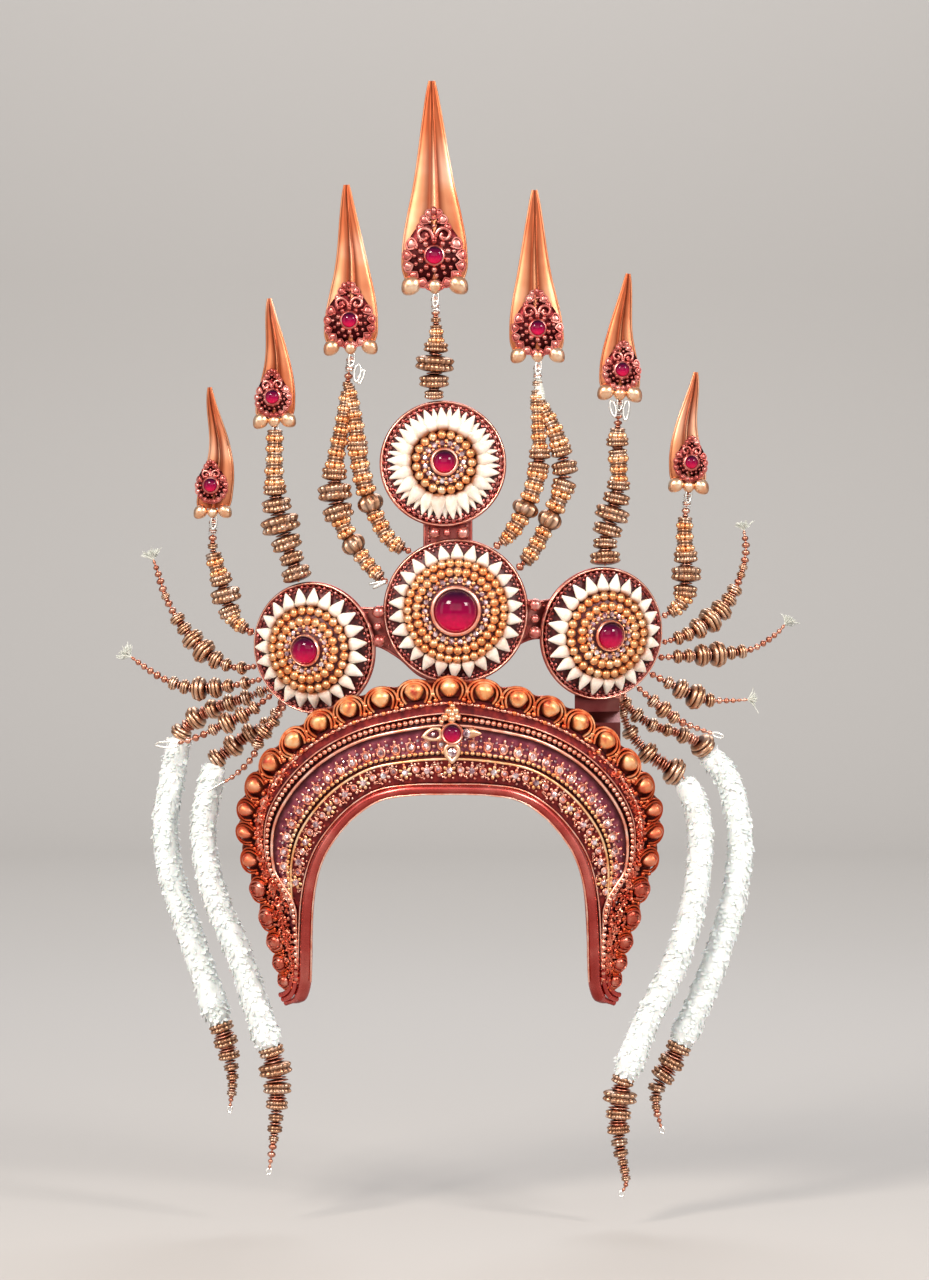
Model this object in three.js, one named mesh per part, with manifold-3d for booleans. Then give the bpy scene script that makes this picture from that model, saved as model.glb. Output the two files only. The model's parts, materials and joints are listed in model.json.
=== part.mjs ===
// Apsara crown: a crescent diadem on the brow, four domed discs above it, seven flame-shaped
// blades on beaded stems, side strands of beads, and four hanging garlands.
// Millimetres, +Z up, the wearer faces -Y. The origin is the top of the face opening, where the
// diadem rests on the brow.
import * as THREE from 'three';
import { mergeVertices } from 'three/addons/utils/BufferGeometryUtils.js';
import Module from 'manifold-3d';

const GAP = 0.3; // clearance between pieces that touch on the real crown
const SEAT = 0.6; // clearance where a beaded strand meets a rounded rim or a garland
const SEAM = 0.8; // clearance along the curved edges of the diadem's bands

// The diadem is bent round the head like a half ellipse, and its legs sweep back.
const HEAD_HALF_WIDTH = 138;
const HEAD_DEPTH = 92;
const LEG_SWEEP = 0.0022; // depth gained per square millimetre below the brow

const RIM_WIDTH = 6.4; // rolled inner rim at the brow
const RIM_GROWTH = 2; // how much wider the roll is at the leg ends
const CREST_WIDTH = 12; // outer strip that carries the bosses
const BACK = 2; // thickness behind the bent surface
const DIADEM_STATIONS = 32;
const RIM_STATIONS = 40;
const SHELL_MARGIN = 0.02; // shares of the arch left bare at each leg end
const CREST_MARGIN = 0.004;
const BOSS_COUNT = 31;
const BOSS_HEIGHT = 7.6; // above the bent surface

const PLATE_FRONT = 16.5; // how far the backing plate stands behind the bent surface
const PLATE_FLARE = 0.0003; // extra set-back per square millimetre to the side
const PLATE_THICKNESS = 2;

const GARLAND_RADIUS = 8.4;
const STRAIGHT = 6; // straight stretch of bead strand at each end of a garland
const STRAND_SIDES = 5;
const LATHE_SEGMENTS = 20;

const UP = new THREE.Vector3(0, 0, 1);
const BACKWARD = new THREE.Vector3(0, 1, 0);

// Half of the diadem in front view, brow to leg: the face opening's edge and the crest's edge.
const DIADEM_HALF = [
  // innerX, innerZ, outerX, outerZ
  [0, 0, 0, 66.5],
  [20, -0.5, 31, 62],
  [38, -3.5, 60, 53.5],
  [52, -12.5, 86, 39],
  [62, -23.5, 107, 18],
  [69, -34.5, 118.5, -4],
  [73.5, -47, 119.5, -25],
  [76, -62, 112.5, -52],
  [77, -80, 105, -78],
  [77.5, -96, 99.5, -98],
  [78, -110, 95, -114],
];
// Ridges across the shell, from the rim to the crest.
const SHELL_RELIEF = [
  // share of the shell's width, height above the bent surface
  [0, 1.2], [0.26, 1.2], [0.32, 3], [0.38, 1.2], [0.64, 1.2], [0.7, 3.4], [0.8, 3.4], [0.86, 2.2], [1, 2.6],
];

// Discs: centre, radius, yaw outward and pitch down in degrees, ruby and bezel radii, dome height.
const DISCS = {
  centre: { at: [3.5, 12, 103], radius: 41, yaw: 0, pitch: 0, ruby: 11.8, bezel: 13.7, dome: 13 },
  top: { at: [-3.7, 12, 186], radius: 35.8, yaw: 4, pitch: -3, ruby: 6, bezel: 7.5, dome: 13 },
  left: { at: [-76.7, 27.5, 82.3], radius: 37.8, yaw: -22, pitch: 6, ruby: 7.4, bezel: 8.6, dome: 14 },
  right: { at: [86, 30, 90.5], radius: 38, yaw: 22, pitch: 6, ruby: 7.2, bezel: 8.4, dome: 14 },
};
const PLATE_RIM = 1.6; // radius of the wire round each disc
const STUD_RADIUS = 3.5; // hidden stud from a disc's back to the backing plate
const STUD_GAP = 0.8;

// Blades, from the left: middle of the base, tip, half width, height of the ruby above the base.
// Bow is how far the middle of the blade leans to the right.
const BLADES = [
  { base: [-135, 42, 156], tip: [-137, 42, 231], half: 9.8, ruby: 19, gem: 3.8, yaw: -8, bow: 5 },
  { base: [-98.8, 22, 207], tip: [-102, 22, 280], half: 10.8, ruby: 17, gem: 3.8, yaw: -6, bow: 3 },
  { base: [-55.5, 11, 246.5], tip: [-58, 11, 343], half: 14.8, ruby: 20, gem: 4.1, yaw: -4, bow: 1.8 },
  { base: [-8.2, 8, 280], tip: [-10, 8, 401], half: 18.2, ruby: 22.5, gem: 4.8, yaw: 0, bow: 0.3 },
  { base: [49.5, 11, 242], tip: [47.8, 11, 340], half: 14.9, ruby: 20, gem: 4.1, yaw: 4, bow: -1 },
  { base: [95.8, 22, 222.5], tip: [101, 22, 294], half: 11.2, ruby: 17, gem: 3.8, yaw: 6, bow: -2.2 },
  { base: [135.7, 40, 171], tip: [140.3, 40, 239.5], half: 10.2, ruby: 17, gem: 3.6, yaw: 8, bow: -3.5 },
];
const BLADE_OUTLINE = [
  // share of the height, share of the half width, height of the front ridge, depth of the back
  [0.08, 0.9, 3.2, 1.6],
  [0.15, 1, 3.4, 1.6],
  [0.24, 0.97, 3.4, 1.6],
  [0.36, 0.84, 3.2, 1.5],
  [0.5, 0.64, 2.8, 1.3],
  [0.64, 0.48, 2.4, 1.2],
  [0.8, 0.32, 2, 1],
  [0.93, 0.18, 1.5, 0.9],
  [1, 0.08, 0.8, 0.6],
];

// Beaded stems. A stem starts on a disc's rim at an angle from +X, passes its points and ends
// under its blade. Beads are diameters in order, or [diameter, length] for a long bead.
const STEMS = [
  [{ disc: 'left', angle: 168, points: [[-124, 46, 99], [-129, 46, 116], [-135, 44, 136]],
    beads: [5, 7.5, 8.5, 13, 17.5, 13, 9, 9.5, 6, 5, 5, 5] }],
  [{ disc: 'left', angle: 102, points: [[-90, 28, 134.5], [-96, 28, 152.5], [-99, 26, 172]],
    beads: [17, 14, 17.5, 22.5, 17, 13.5, 10, 10, 9, 9, 9] }],
  [{ disc: 'centre', angle: 158, points: [[-46.5, 16, 130], [-61.5, 16, 154.5], [-65, 16, 180],
    [-60, 13, 211]],
    beads: [4, 7.5, 8, 8.5, [14, 12.5], 10, 17.5, 19.5, 14.5, 10, 9, 9, 8, 8, 7, 7, 6, 5, 5, 5] },
  { disc: 'centre', angle: 127, points: [[-33, 14, 142.5], [-45, 14, 165], [-51, 14, 188], [-53, 13, 208]],
    end: [-57, 12, 231], beads: [4, 8.5, 8.5, 9.5, 9, [15, 12.5], 10.5, 10.5, 10, 12.5, 9, 9, 8, 8, 7] }],
  [{ disc: 'top', angle: 98, points: [[-8.5, 11, 239], [-7.5, 10, 256]],
    beads: [11, 17, 22, 14, 8, 7, 6, 5, 5, 5] }],
  [{ disc: 'centre', angle: 59, points: [[33.5, 12, 145.5], [44.5, 12, 165], [50.5, 12, 187],
    [49.5, 12, 213]],
    beads: [5, 7, 9, 9.5, [15.5, 11.5], 10, 10.5, 12.5, 12.5, 8, 8, 7, 7, 8.5, 7, 6, 5, 5] },
  { disc: 'centre', angle: 34, points: [[46, 15, 135.5], [57.5, 15, 157], [65, 15, 178], [60.5, 13, 201]],
    end: [50, 12, 223], beads: [5, 9, 9, 9, [14, 11.5], 10.5, 14, 15, 12.5, 10, 9, 8, 7] }],
  [{ disc: 'right', angle: 89, points: [[88.5, 28, 144.5], [95.5, 27, 172.5], [95, 25, 200]],
    beads: [17.5, 14, 17, 20, 15.5, 13.5, 9, 10.5, 11, 13, 9, 5, 5, 5, 5] }],
  [{ disc: 'right', angle: 14, points: [[132.5, 44, 108], [135, 44, 123.5], [134, 43, 150]],
    beads: [4, 8, 9.5, 14, 17.5, 14, 9.5, 9, 8.5, 5, 5, 4] }],
];

// Side strands from a disc's rim to a free tip.
const SIDE_STRANDS = {
  strand_l1: { disc: 'left', angle: 196, points: [[-123, 51, 71], [-137, 55, 77], [-151, 59, 91],
    [-162.5, 62, 109], [-169, 65, 127.5], [-171, 66, 133]],
    beads: [3.5, 3.5, 8, 4, 8, 11.5, 15.5, 14, 9.5, 9.5, 5, 5, 5.5, 5, 5, 4.5, 3.5, 2] },
  strand_l2: { disc: 'left', angle: 208, points: [[-126, 53, 60.5], [-148, 59, 59], [-165, 63, 64.5],
    [-180, 67, 74], [-184, 68, 77]],
    beads: [3.5, 3.5, 8, 4, 8.5, 12.5, 14.5, 9, 8.5, 4.5, 5, 4.5, 4, 3.5, 2] },
  strand_l3: { disc: 'left', angle: 224, points: [[-114, 43, 46.5], [-130.5, 44, 38], [-145, 46, 31],
    [-160, 50, 27], [-169.5, 52, 27]],
    beads: [3.5, 4, 8.5, 11, 13.5, 7.5, 4.5, 4.5, 4, 2.5, 2, 2, 2, 2] },
  strand_l4: { disc: 'left', angle: 239, points: [[-100, 43.5, 41], [-108, 45, 32], [-112.5, 48, 20.5],
    [-123, 50, 9.5], [-139, 50, 0]],
    beads: [3.5, 3.5, 8, 11, 8, 4.5, 4, 4, 3.5, 3, 2, 2, 2, 2] },
  strand_r1: { disc: 'right', angle: -8, points: [[136, 49, 90], [155, 56, 103], [166.5, 61, 121.5],
    [170.5, 63, 138], [169.5, 65, 150]],
    beads: [3.5, 3.5, 8.5, 9, 13, 16, 14, 10, 9.5, 5, 5.5, 5.5, 5, 5, 5, 4, 2] },
  strand_r2: { disc: 'right', angle: -21, points: [[133, 48, 77.5], [157.5, 56, 79], [175, 61, 82],
    [189.5, 65, 91.5], [193, 66, 95.5]],
    beads: [4, 4, 8.5, 8.5, 13.5, 15.5, 8.5, 8.5, 4, 4, 4, 4, 3.5, 3, 2] },
  strand_r3: { disc: 'right', angle: -36, points: [[129.5, 47, 60], [144.5, 51, 53], [161, 55, 52],
    [171, 57, 52.5]],
    beads: [4, 4.5, 8, 12.5, 15.5, 8.5, 4, 3.5, 3, 2, 2] },
  strand_r4: { disc: 'right', angle: -52, points: [[118.5, 44, 50], [130.5, 48, 41], [145, 52, 35],
    [157.5, 54, 31]],
    beads: [3.5, 4, 8.5, 11, 8, 5, 4, 3.5, 3, 2.5, 2, 2] },
};

// Garland assemblies: a beaded hanger from the backing plate, the garland and its finial.
const GARLANDS = {
  lo: { hanger: [[-92, 47.4, 60], [-95, 52, 60], [-103, 60, 59], [-116, 61, 54], [-130, 64, 49.5],
    [-145, 70, 43], [-152, 73, 37]],
    hangerBeads: [4, 5, 7, 7.5, 10, 11, 12, 14.5, 13],
    garland: [[-157, 75, 27], [-161, 77, 8], [-165, 80, -16], [-164, 80, -40], [-157, 80, -66],
      [-147, 79, -95], [-134, 77, -133]],
    finial: [[-128.5, 77, -152], [-126, 77, -168], [-127.5, 77, -184]],
    finialBeads: [14.5, 14.5, 13, 9, 7.5, 6, 6, 3, 2] },
  li: { hanger: [[-92, 47.4, 54], [-95, 52, 53], [-103, 58, 40], [-116, 60, 32.5], [-127, 62.5, 24],
    [-132, 63, 19.5]],
    hangerBeads: [4, 5, 8, 10, 12.5, 14, 13],
    garland: [[-136, 63, 12], [-141, 62, -11], [-141.5, 61, -32], [-134.5, 60, -62], [-122, 60, -92],
      [-111, 61, -125], [-104.5, 63, -145]],
    finial: [[-99.5, 63, -170], [-101, 63, -196], [-104, 63, -218]],
    finialBeads: [15, 19.5, 16.5, 13, 9, 9, 6, 5, 5, 3, 2] },
  ri: { hanger: [[92, 47.4, 60], [95, 52, 59], [103, 60, 35], [114.5, 61, 21], [125, 62, 14],
    [130, 63, 10.5]],
    hangerBeads: [4, 5, 7, 10.5, 14, 17],
    garland: [[136, 63, 3.5], [142, 63, -10], [144, 62, -35], [139, 60, -70], [127, 60, -105],
      [112, 61, -135], [101.5, 63, -162.5]],
    finial: [[97, 63, -188], [98, 63, -206], [101.5, 63, -226], [99.5, 63, -231]],
    finialBeads: [13.5, 20, 15, 13.5, 10, 9, 6.5, 6, 5.5, 3, 2] },
  ro: { hanger: [[92, 47.4, 69], [95, 52, 68], [103, 62, 48], [116, 64, 38], [133, 71, 32.5],
    [146, 75, 26]],
    hangerBeads: [4, 5, 6, 7.5, 10, 9, 8, 10.5, 15.5],
    garland: [[151, 77, 19], [160.5, 79, 7], [168, 81, -22], [166, 80, -57], [156, 79, -93], [144, 77, -124],
      [134.5, 77, -145]],
    finial: [[126.5, 77, -161], [120, 77, -172], [119.5, 77, -184], [122.5, 77, -196]],
    finialBeads: [15, 15.5, 14.5, 10.5, 7.5, 5.5, 5, 3, 2] },
};

const FINISH = {
  copper: { color: 0xc4572f, roughness: 0.3, metalness: 0.9 },
  bladeCopper: { color: 0xc8622e, roughness: 0.22, metalness: 1 },
  burgundy: { color: 0x5e2330, roughness: 0.45, metalness: 0.6 },
  roseCopper: { color: 0xc6503e, roughness: 0.3, metalness: 0.9 },
  discCopper: { color: 0x8e4a42, roughness: 0.4, metalness: 0.8 },
  beadGold: { color: 0xd8934a, roughness: 0.3, metalness: 0.9 },
  brass: { color: 0xb08a62, roughness: 0.35, metalness: 1 },
  ruby: { color: 0xa0003c, roughness: 0.1, metalness: 0 },
  floss: { color: 0xe8eeec, roughness: 0.9, metalness: 0 },
};

const wasm = await Module();
wasm.setup();
const crown = new THREE.Group();

function addPiece(name, geometry, finish, parent = crown) {
  const piece = new THREE.Mesh(geometry, new THREE.MeshStandardMaterial(FINISH[finish]));
  piece.name = name;
  parent.add(piece);
  return piece;
}

// ---- Solids ----

// A closed solid through rings of points, each ring of the same count, with flat ends.
function loft(rings) {
  const sides = rings[0].length;
  const last = (rings.length - 1) * sides;
  const triangles = [];
  for (let ring = 0; ring < last; ring += sides) {
    for (let side = 0; side < sides; side++) {
      const a = ring + side;
      const b = ring + ((side + 1) % sides);
      triangles.push(a, b, a + sides, b, b + sides, a + sides);
    }
  }
  for (let side = 1; side < sides - 1; side++) {
    triangles.push(0, side + 1, side, last, last + side, last + side + 1);
  }
  const geometry = new THREE.BufferGeometry().setFromPoints(rings.flat());
  geometry.setIndex(triangles);
  return geometry;
}

const vectors = (points) => points.map((point) => new THREE.Vector3(...point));
const smooth = (route) => new THREE.CatmullRomCurve3(route, false, 'centripetal');
const routeLength = (route) => smooth(route).getLength();

// A round section carried along a route; stops are [distance along the route, radius].
function sweep(route, stops, sides = STRAND_SIDES) {
  const curve = smooth(route);
  const length = curve.getLength();
  return loft(stops.map(([along, radius]) => {
    const share = Math.min(along / length, 1);
    const middle = curve.getPointAt(share);
    const ahead = curve.getTangentAt(share);
    const across = new THREE.Vector3().crossVectors(BACKWARD, ahead).normalize();
    const over = new THREE.Vector3().crossVectors(ahead, across);
    return Array.from({ length: sides }, (_, side) => {
      const turn = (2 * Math.PI * side) / sides;
      return middle.clone().addScaledVector(across, radius * Math.cos(turn))
        .addScaledVector(over, radius * Math.sin(turn));
    });
  }));
}

function toSolid(geometry) {
  const bare = geometry.clone();
  bare.deleteAttribute('normal');
  bare.deleteAttribute('uv');
  const merged = mergeVertices(bare);
  return new wasm.Manifold(new wasm.Mesh({
    numProp: 3,
    vertProperties: new Float32Array(merged.attributes.position.array),
    triVerts: new Uint32Array(merged.index.array),
  }));
}

function join(geometries) {
  const whole = geometries.map(toSolid).reduce((sum, solid) => sum.add(solid));
  const { vertProperties, triVerts } = whole.getMesh();
  const geometry = new THREE.BufferGeometry();
  geometry.setAttribute('position', new THREE.BufferAttribute(vertProperties, 3));
  geometry.setIndex(new THREE.BufferAttribute(triVerts, 1));
  return geometry;
}

function lathe(profile, segments = LATHE_SEGMENTS) {
  const outline = profile.map(([radius, height]) => new THREE.Vector2(radius, height));
  return new THREE.LatheGeometry(outline, segments);
}

function ellipsoid(at, [x, y, z], around = 6, rows = 4) {
  return new THREE.SphereGeometry(1, around, rows).scale(x, y, z).translate(...at);
}

// ---- Beaded strands ----

const beadDiameter = (bead) => (Array.isArray(bead) ? bead[0] : bead);
const beadLength = (bead) => (Array.isArray(bead) ? bead[1] : 1.6 + 0.42 * bead);
const TUBE_BELOW = 5.5; // beads finer than this run together as one tube

// Beads are spread over the whole route in proportion to their own lengths.
function beadedStrand(route, beads) {
  const stretch = routeLength(route) / beads.reduce((sum, bead) => sum + beadLength(bead), 0);
  const stops = [[0, 0.4 * beadDiameter(beads[0])]];
  let along = 0;
  beads.forEach((bead, index) => {
    const size = beadDiameter(bead);
    const next = beadDiameter(beads[index + 1] ?? bead);
    const step = stretch * beadLength(bead);
    stops.push([along + step / 2, size / 2]);
    along += step;
    if (index === beads.length - 1) stops.push([along, 0.35 * size]);
    else if (Math.max(size, next) > TUBE_BELOW) stops.push([along, 0.33 * Math.min(size, next)]);
  });
  return sweep(route, stops);
}

// ---- Discs ----

function facing({ yaw, pitch }) {
  const turn = THREE.MathUtils.degToRad(yaw);
  const dip = THREE.MathUtils.degToRad(pitch);
  return new THREE.Vector3(Math.sin(turn) * Math.cos(dip), -Math.cos(turn) * Math.cos(dip), -Math.sin(dip));
}

function rimPoint(name, angle, clearance) {
  const disc = DISCS[name];
  const normal = facing(disc);
  const side = new THREE.Vector3().crossVectors(UP, normal).normalize();
  const rise = new THREE.Vector3().crossVectors(normal, side);
  const turn = THREE.MathUtils.degToRad(angle);
  const reach = disc.radius + clearance;
  return new THREE.Vector3(...disc.at).addScaledVector(side, reach * Math.cos(turn))
    .addScaledVector(rise, reach * Math.sin(turn));
}

const headDepth = (x, z) => HEAD_DEPTH * (1 - Math.sqrt(1 - (x / HEAD_HALF_WIDTH) ** 2))
  + LEG_SWEEP * Math.min(z, 0) ** 2;
const plateFront = (x) => PLATE_FRONT + headDepth(x, 0) + PLATE_FLARE * x * x;

function addDisc(name) {
  const { at, radius, ruby, bezel, dome, yaw, pitch } = DISCS[name];
  const disc = new THREE.Group();
  disc.position.set(...at);
  disc.quaternion.setFromUnitVectors(BACKWARD, facing({ yaw, pitch }));
  crown.add(disc);
  const inner = radius - 2 * PLATE_RIM;
  const turn = THREE.MathUtils.degToRad(Math.abs(yaw));
  const plateSlope = Math.abs(plateFront(at[0] + 1) - plateFront(at[0] - 1)) / 2;
  const stud = (plateFront(at[0]) - at[1]) / (Math.cos(turn) + plateSlope * Math.sin(turn)) - STUD_GAP;
  addPiece(`disc_${name}_plate`, lathe([[0, -stud], [STUD_RADIUS, -stud], [STUD_RADIUS, -PLATE_RIM],
    [radius - 0.5, -PLATE_RIM], [radius, 0], [radius - 0.5, PLATE_RIM], [inner, PLATE_RIM], [inner, 0],
    [0, 0]], 24), 'discCopper', disc);
  const petalTop = 0.42 * dome;
  const seat = dome - 2;
  addPiece(`disc_${name}_beads`, lathe([[0, GAP], [inner - 0.6, GAP], [inner - 0.6, 1.4],
    [0.88 * radius, petalTop], [0.72 * radius, petalTop + 1], [0.55 * radius, 0.62 * dome],
    [bezel + 1.4, 0.82 * dome], [bezel, dome],
    [ruby + GAP, dome], [ruby + GAP, seat], [0, seat]]), 'beadGold', disc);
  const rise = 0.62 * ruby;
  addPiece(`disc_${name}_ruby`, lathe([[0, seat + GAP], [ruby, seat + GAP], [ruby, dome],
    [0.72 * ruby, dome + 0.7 * rise], [0, dome + rise]], 10), 'ruby', disc);
}

// ---- Diadem ----

const fullArch = (column) => {
  const half = DIADEM_HALF.map((row) => [row[column], row[column + 1]]);
  const mirrored = half.slice(1).reverse().map(([x, z]) => [-x, z]);
  return new THREE.CatmullRomCurve3([...mirrored, ...half].map(([x, z]) => new THREE.Vector3(x, 0, z)));
};
const innerArch = fullArch(0);
const outerArch = fullArch(2);

// A point on the diadem: share is along the arch, across is from the face opening outward, and
// height is in front of the bent surface.
function onDiadem(share, across, height) {
  const inner = innerArch.getPoint(share);
  const outer = outerArch.getPoint(share);
  const point = inner.clone().addScaledVector(outer.clone().sub(inner).normalize(), across);
  const slope = (headDepth(point.x + 1, point.z) - headDepth(point.x - 1, point.z)) / 2;
  const fall = (headDepth(point.x, point.z + 1) - headDepth(point.x, point.z - 1)) / 2;
  point.y = headDepth(point.x, point.z);
  return point.addScaledVector(new THREE.Vector3(slope, -1, fall).normalize(), height);
}

const rimWidth = (share) => RIM_WIDTH + RIM_GROWTH * Math.abs(2 * share - 1);
const bandWidth = (share) => innerArch.getPoint(share).distanceTo(outerArch.getPoint(share));
const crestWidth = (share) => Math.min(CREST_WIDTH, 0.46 * bandWidth(share));

function alongDiadem(stations, margin, section) {
  return loft(Array.from({ length: stations + 1 }, (_, station) => (
    section(margin + ((1 - 2 * margin) * station) / stations, station).reverse())));
}

function shellSection(share) {
  const start = rimWidth(share) + SEAM;
  const width = bandWidth(share) - crestWidth(share) - SEAM - start;
  const front = SHELL_RELIEF.map(([part, height]) => onDiadem(share, start + part * width, height));
  const back = [1, 0.5, 0].map((part) => onDiadem(share, start + part * width, -BACK));
  return [...front, ...back];
}

// Every second station of the crest is the top of a boss.
function crestSection(share, station) {
  const onBoss = station % 2 === 1;
  const outside = bandWidth(share) - (onBoss ? 0 : 1.6);
  const inside = bandWidth(share) - crestWidth(share);
  return [onDiadem(share, inside, 2.6), onDiadem(share, 0.5 * (inside + outside), onBoss ? BOSS_HEIGHT : 3.2),
    onDiadem(share, outside, onBoss ? 3.4 : 1.4), onDiadem(share, outside, -BACK),
    onDiadem(share, inside, -BACK)];
}

function addDiadem() {
  addPiece('diadem_shell', alongDiadem(DIADEM_STATIONS, SHELL_MARGIN, shellSection), 'burgundy');
  addPiece('diadem_crest', alongDiadem(2 * BOSS_COUNT, CREST_MARGIN, crestSection), 'copper');
  // The rolled rim lines the face opening and hooks under both leg ends.
  const hook = [[87, -119.6], [94, -121]].map(([x, z]) => [x, headDepth(x, z) - 0.4, z]);
  const lining = Array.from({ length: 31 }, (_, index) => {
    const share = 0.01 + (0.98 * index) / 30;
    return onDiadem(share, rimWidth(share) / 2, 0.6);
  });
  const route = [...vectors(hook.map(([x, y, z]) => [-x, y, z])).reverse(), ...lining, ...vectors(hook)];
  const length = routeLength(route);
  const stops = Array.from({ length: RIM_STATIONS + 1 }, (_, index) => {
    const part = index / RIM_STATIONS;
    return [length * part, rimWidth(part) / 2 - GAP];
  });
  addPiece('diadem_rim', sweep(route, stops, 7), 'roseCopper');
}

// The flower stands on the ridges of the shell, over the middle of the brow.
function addBrowFlower() {
  const front = -3.4 - GAP;
  const petal = (x, z, width, height) => ellipsoid([x, front - 1.8, z], [width, 1.8, height], 8, 4);
  const bezel = lathe([[0, 0], [6.2, 0], [5.8, 4.4], [5, 4.4], [5, 3.4], [0, 3.4]], 12)
    .applyQuaternion(new THREE.Quaternion().setFromUnitVectors(BACKWARD, BACKWARD.clone().negate()))
    .translate(1.5, front, 34.5);
  addPiece('brow_flower', join([petal(1.5, 45, 5, 6.4), petal(1.5, 23.5, 3.6, 6.6), petal(-8.6, 34.5, 6.2, 4),
    petal(11.4, 34.5, 6, 4), bezel]), 'beadGold');
  addPiece('brow_ruby', lathe([[0, 0], [4.6, 0], [4.6, 1.4], [3.2, 3.2], [0, 4]], 10)
    .applyQuaternion(new THREE.Quaternion().setFromUnitVectors(BACKWARD, BACKWARD.clone().negate()))
    .translate(1.5, front - 3.4 - GAP, 34.5), 'ruby');
}

// ---- Backing plate ----

// The band behind the three lower discs, narrowest between two of them.
const BAND = [
  // x, low edge, high edge
  [-97, 50, 110], [-84, 52, 114], [-70, 62, 114], [-56, 80, 106], [-43, 84, 104.5], [-30, 78, 108],
  [-15, 66, 114], [0, 64, 114], [15, 66, 114], [32, 80, 110], [44, 87, 109], [52, 88, 108.5],
  [62, 84, 111], [76, 66, 118], [88, 56, 120], [97, 54, 118],
];

// A strip of the plate; each column is [x, rows], and each row is [z, set-back from the face].
function plateStrip(columns) {
  return loft(columns.map(([x, rows]) => {
    const face = rows.map(([z, setBack]) => new THREE.Vector3(x, plateFront(x) + setBack, z));
    const back = face.map((point) => point.clone().setY(point.y + PLATE_THICKNESS)).reverse();
    return [...face, ...back].reverse();
  }));
}

// A tab that steps forward under a disc and lies on the back of the diadem.
function diademTab(x, halfWidth, discFoot, clearance) {
  const onShell = BACK + clearance - PLATE_FRONT - PLATE_FLARE * x * x;
  const rows = [[discFoot - 34, onShell], [discFoot - 13, onShell], [discFoot - 1, 0], [discFoot + 42, 0]];
  return plateStrip([[x - halfWidth, rows], [x, rows], [x + halfWidth, rows]]);
}

// A bead on a neck that stands on the plate.
function studBead(x, front, z, diameter) {
  const face = plateFront(x) + 1;
  const neck = new THREE.CylinderGeometry(1.3, 1.3, face - front, 5).translate(x, (face + front) / 2, z);
  return join([ellipsoid([x, front, z], [diameter / 2, diameter / 2, diameter / 2]), neck]);
}

function addBackingPlate() {
  const band = plateStrip(BAND.map(([x, low, high]) => [x, [[low, 0], [high, 0]]]));
  const mast = plateStrip([-14, -1, 12].map((x) => [x, [[100, 0], [200, 0]]]));
  const studs = [
    // x, front, z, diameter
    [-8.5, 7, 147, 6.4], [-1.5, 7, 147.2, 4], [7.6, 7, 147, 7],
    [-40, 8.4, 101.5, 6.2], [-40, 9, 92.6, 4.6], [-40, 8.4, 86.5, 6.2],
    [48.1, 10.6, 106, 6.4], [48.1, 11.2, 98, 4.6], [48.1, 10.6, 91.8, 6.4],
  ].map((row) => studBead(...row));
  addPiece('backing_plate', join([band, mast, diademTab(3.5, 17, 61, 0.7), diademTab(-72, 9, 44, 2.6),
    diademTab(84, 13, 50, 2.6), ...studs]), 'discCopper');
}

// ---- Blades ----

function addBlade(number, { base, tip, half, ruby, gem, yaw, bow }) {
  const foot = new THREE.Vector3(...base);
  const rise = new THREE.Vector3(...tip).sub(foot);
  const height = rise.length();
  const section = ([share, width, ridge, back]) => {
    const middle = bow * Math.sin(Math.PI * share) ** 2;
    const reach = half * width;
    return [[-1, 0], [-0.5, 0.35], [0, 1], [0.5, 0.35], [1, 0]].map(([part, lift]) => (
      new THREE.Vector3(middle + part * reach, -ridge * lift, share * height)))
      .concat([1, 0, -1].map((part) => new THREE.Vector3(middle + 0.8 * part * reach, back, share * height)));
  };
  const leaf = loft(BLADE_OUTLINE.map(section));
  const setting = ellipsoid([0, -1.4, ruby], [0.72 * half, 3.2, 0.78 * half], 8, 4);
  const collar = new THREE.CylinderGeometry(gem + 1.6, gem + 2, 3.4, 8).rotateX(Math.PI)
    .translate(0, -4, ruby);
  const low = 0.045 * height; // the lobes and the bud sit astride the leaf's foot
  const lobes = [-1, 1].map((side) => (
    ellipsoid([side * 0.74 * half, -0.6, low + 1], [0.3 * half, 0.26 * half, 0.05 * height + 1.4])));
  const bud = ellipsoid([0, -0.6, low + 0.8], [0.26 * half, 0.26 * half, low + 0.8]);
  const blade = new THREE.Group();
  blade.position.copy(foot);
  blade.rotation.set(0, Math.atan2(rise.x, rise.z), THREE.MathUtils.degToRad(yaw), 'YZX');
  crown.add(blade);
  addPiece(`blade_${number}`, join([leaf, setting, collar, ...lobes, bud]), 'bladeCopper', blade);
  addPiece(`blade_ruby_${number}`, lathe([[0, 0], [gem, 0], [gem, 0.8], [0.6 * gem, 2], [0, 2.5]], 8)
    .rotateX(Math.PI).translate(0, -5.7 - GAP, ruby), 'ruby', blade);
}

// ---- Stems, strands and garlands ----

function addStem(number, strands) {
  addPiece(`stem_${number}`, join(strands.map(({ disc, angle, points, beads, end }) => {
    const top = new THREE.Vector3(...(end ?? BLADES[number - 1].base));
    return beadedStrand([rimPoint(disc, angle, SEAT), ...vectors(points), top], beads);
  })), 'brass');
}

// The point beyond the end of a route, in line with its last stretch.
function beyond(end, inner, distance) {
  return end.clone().sub(inner).setLength(distance).add(end);
}

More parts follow.
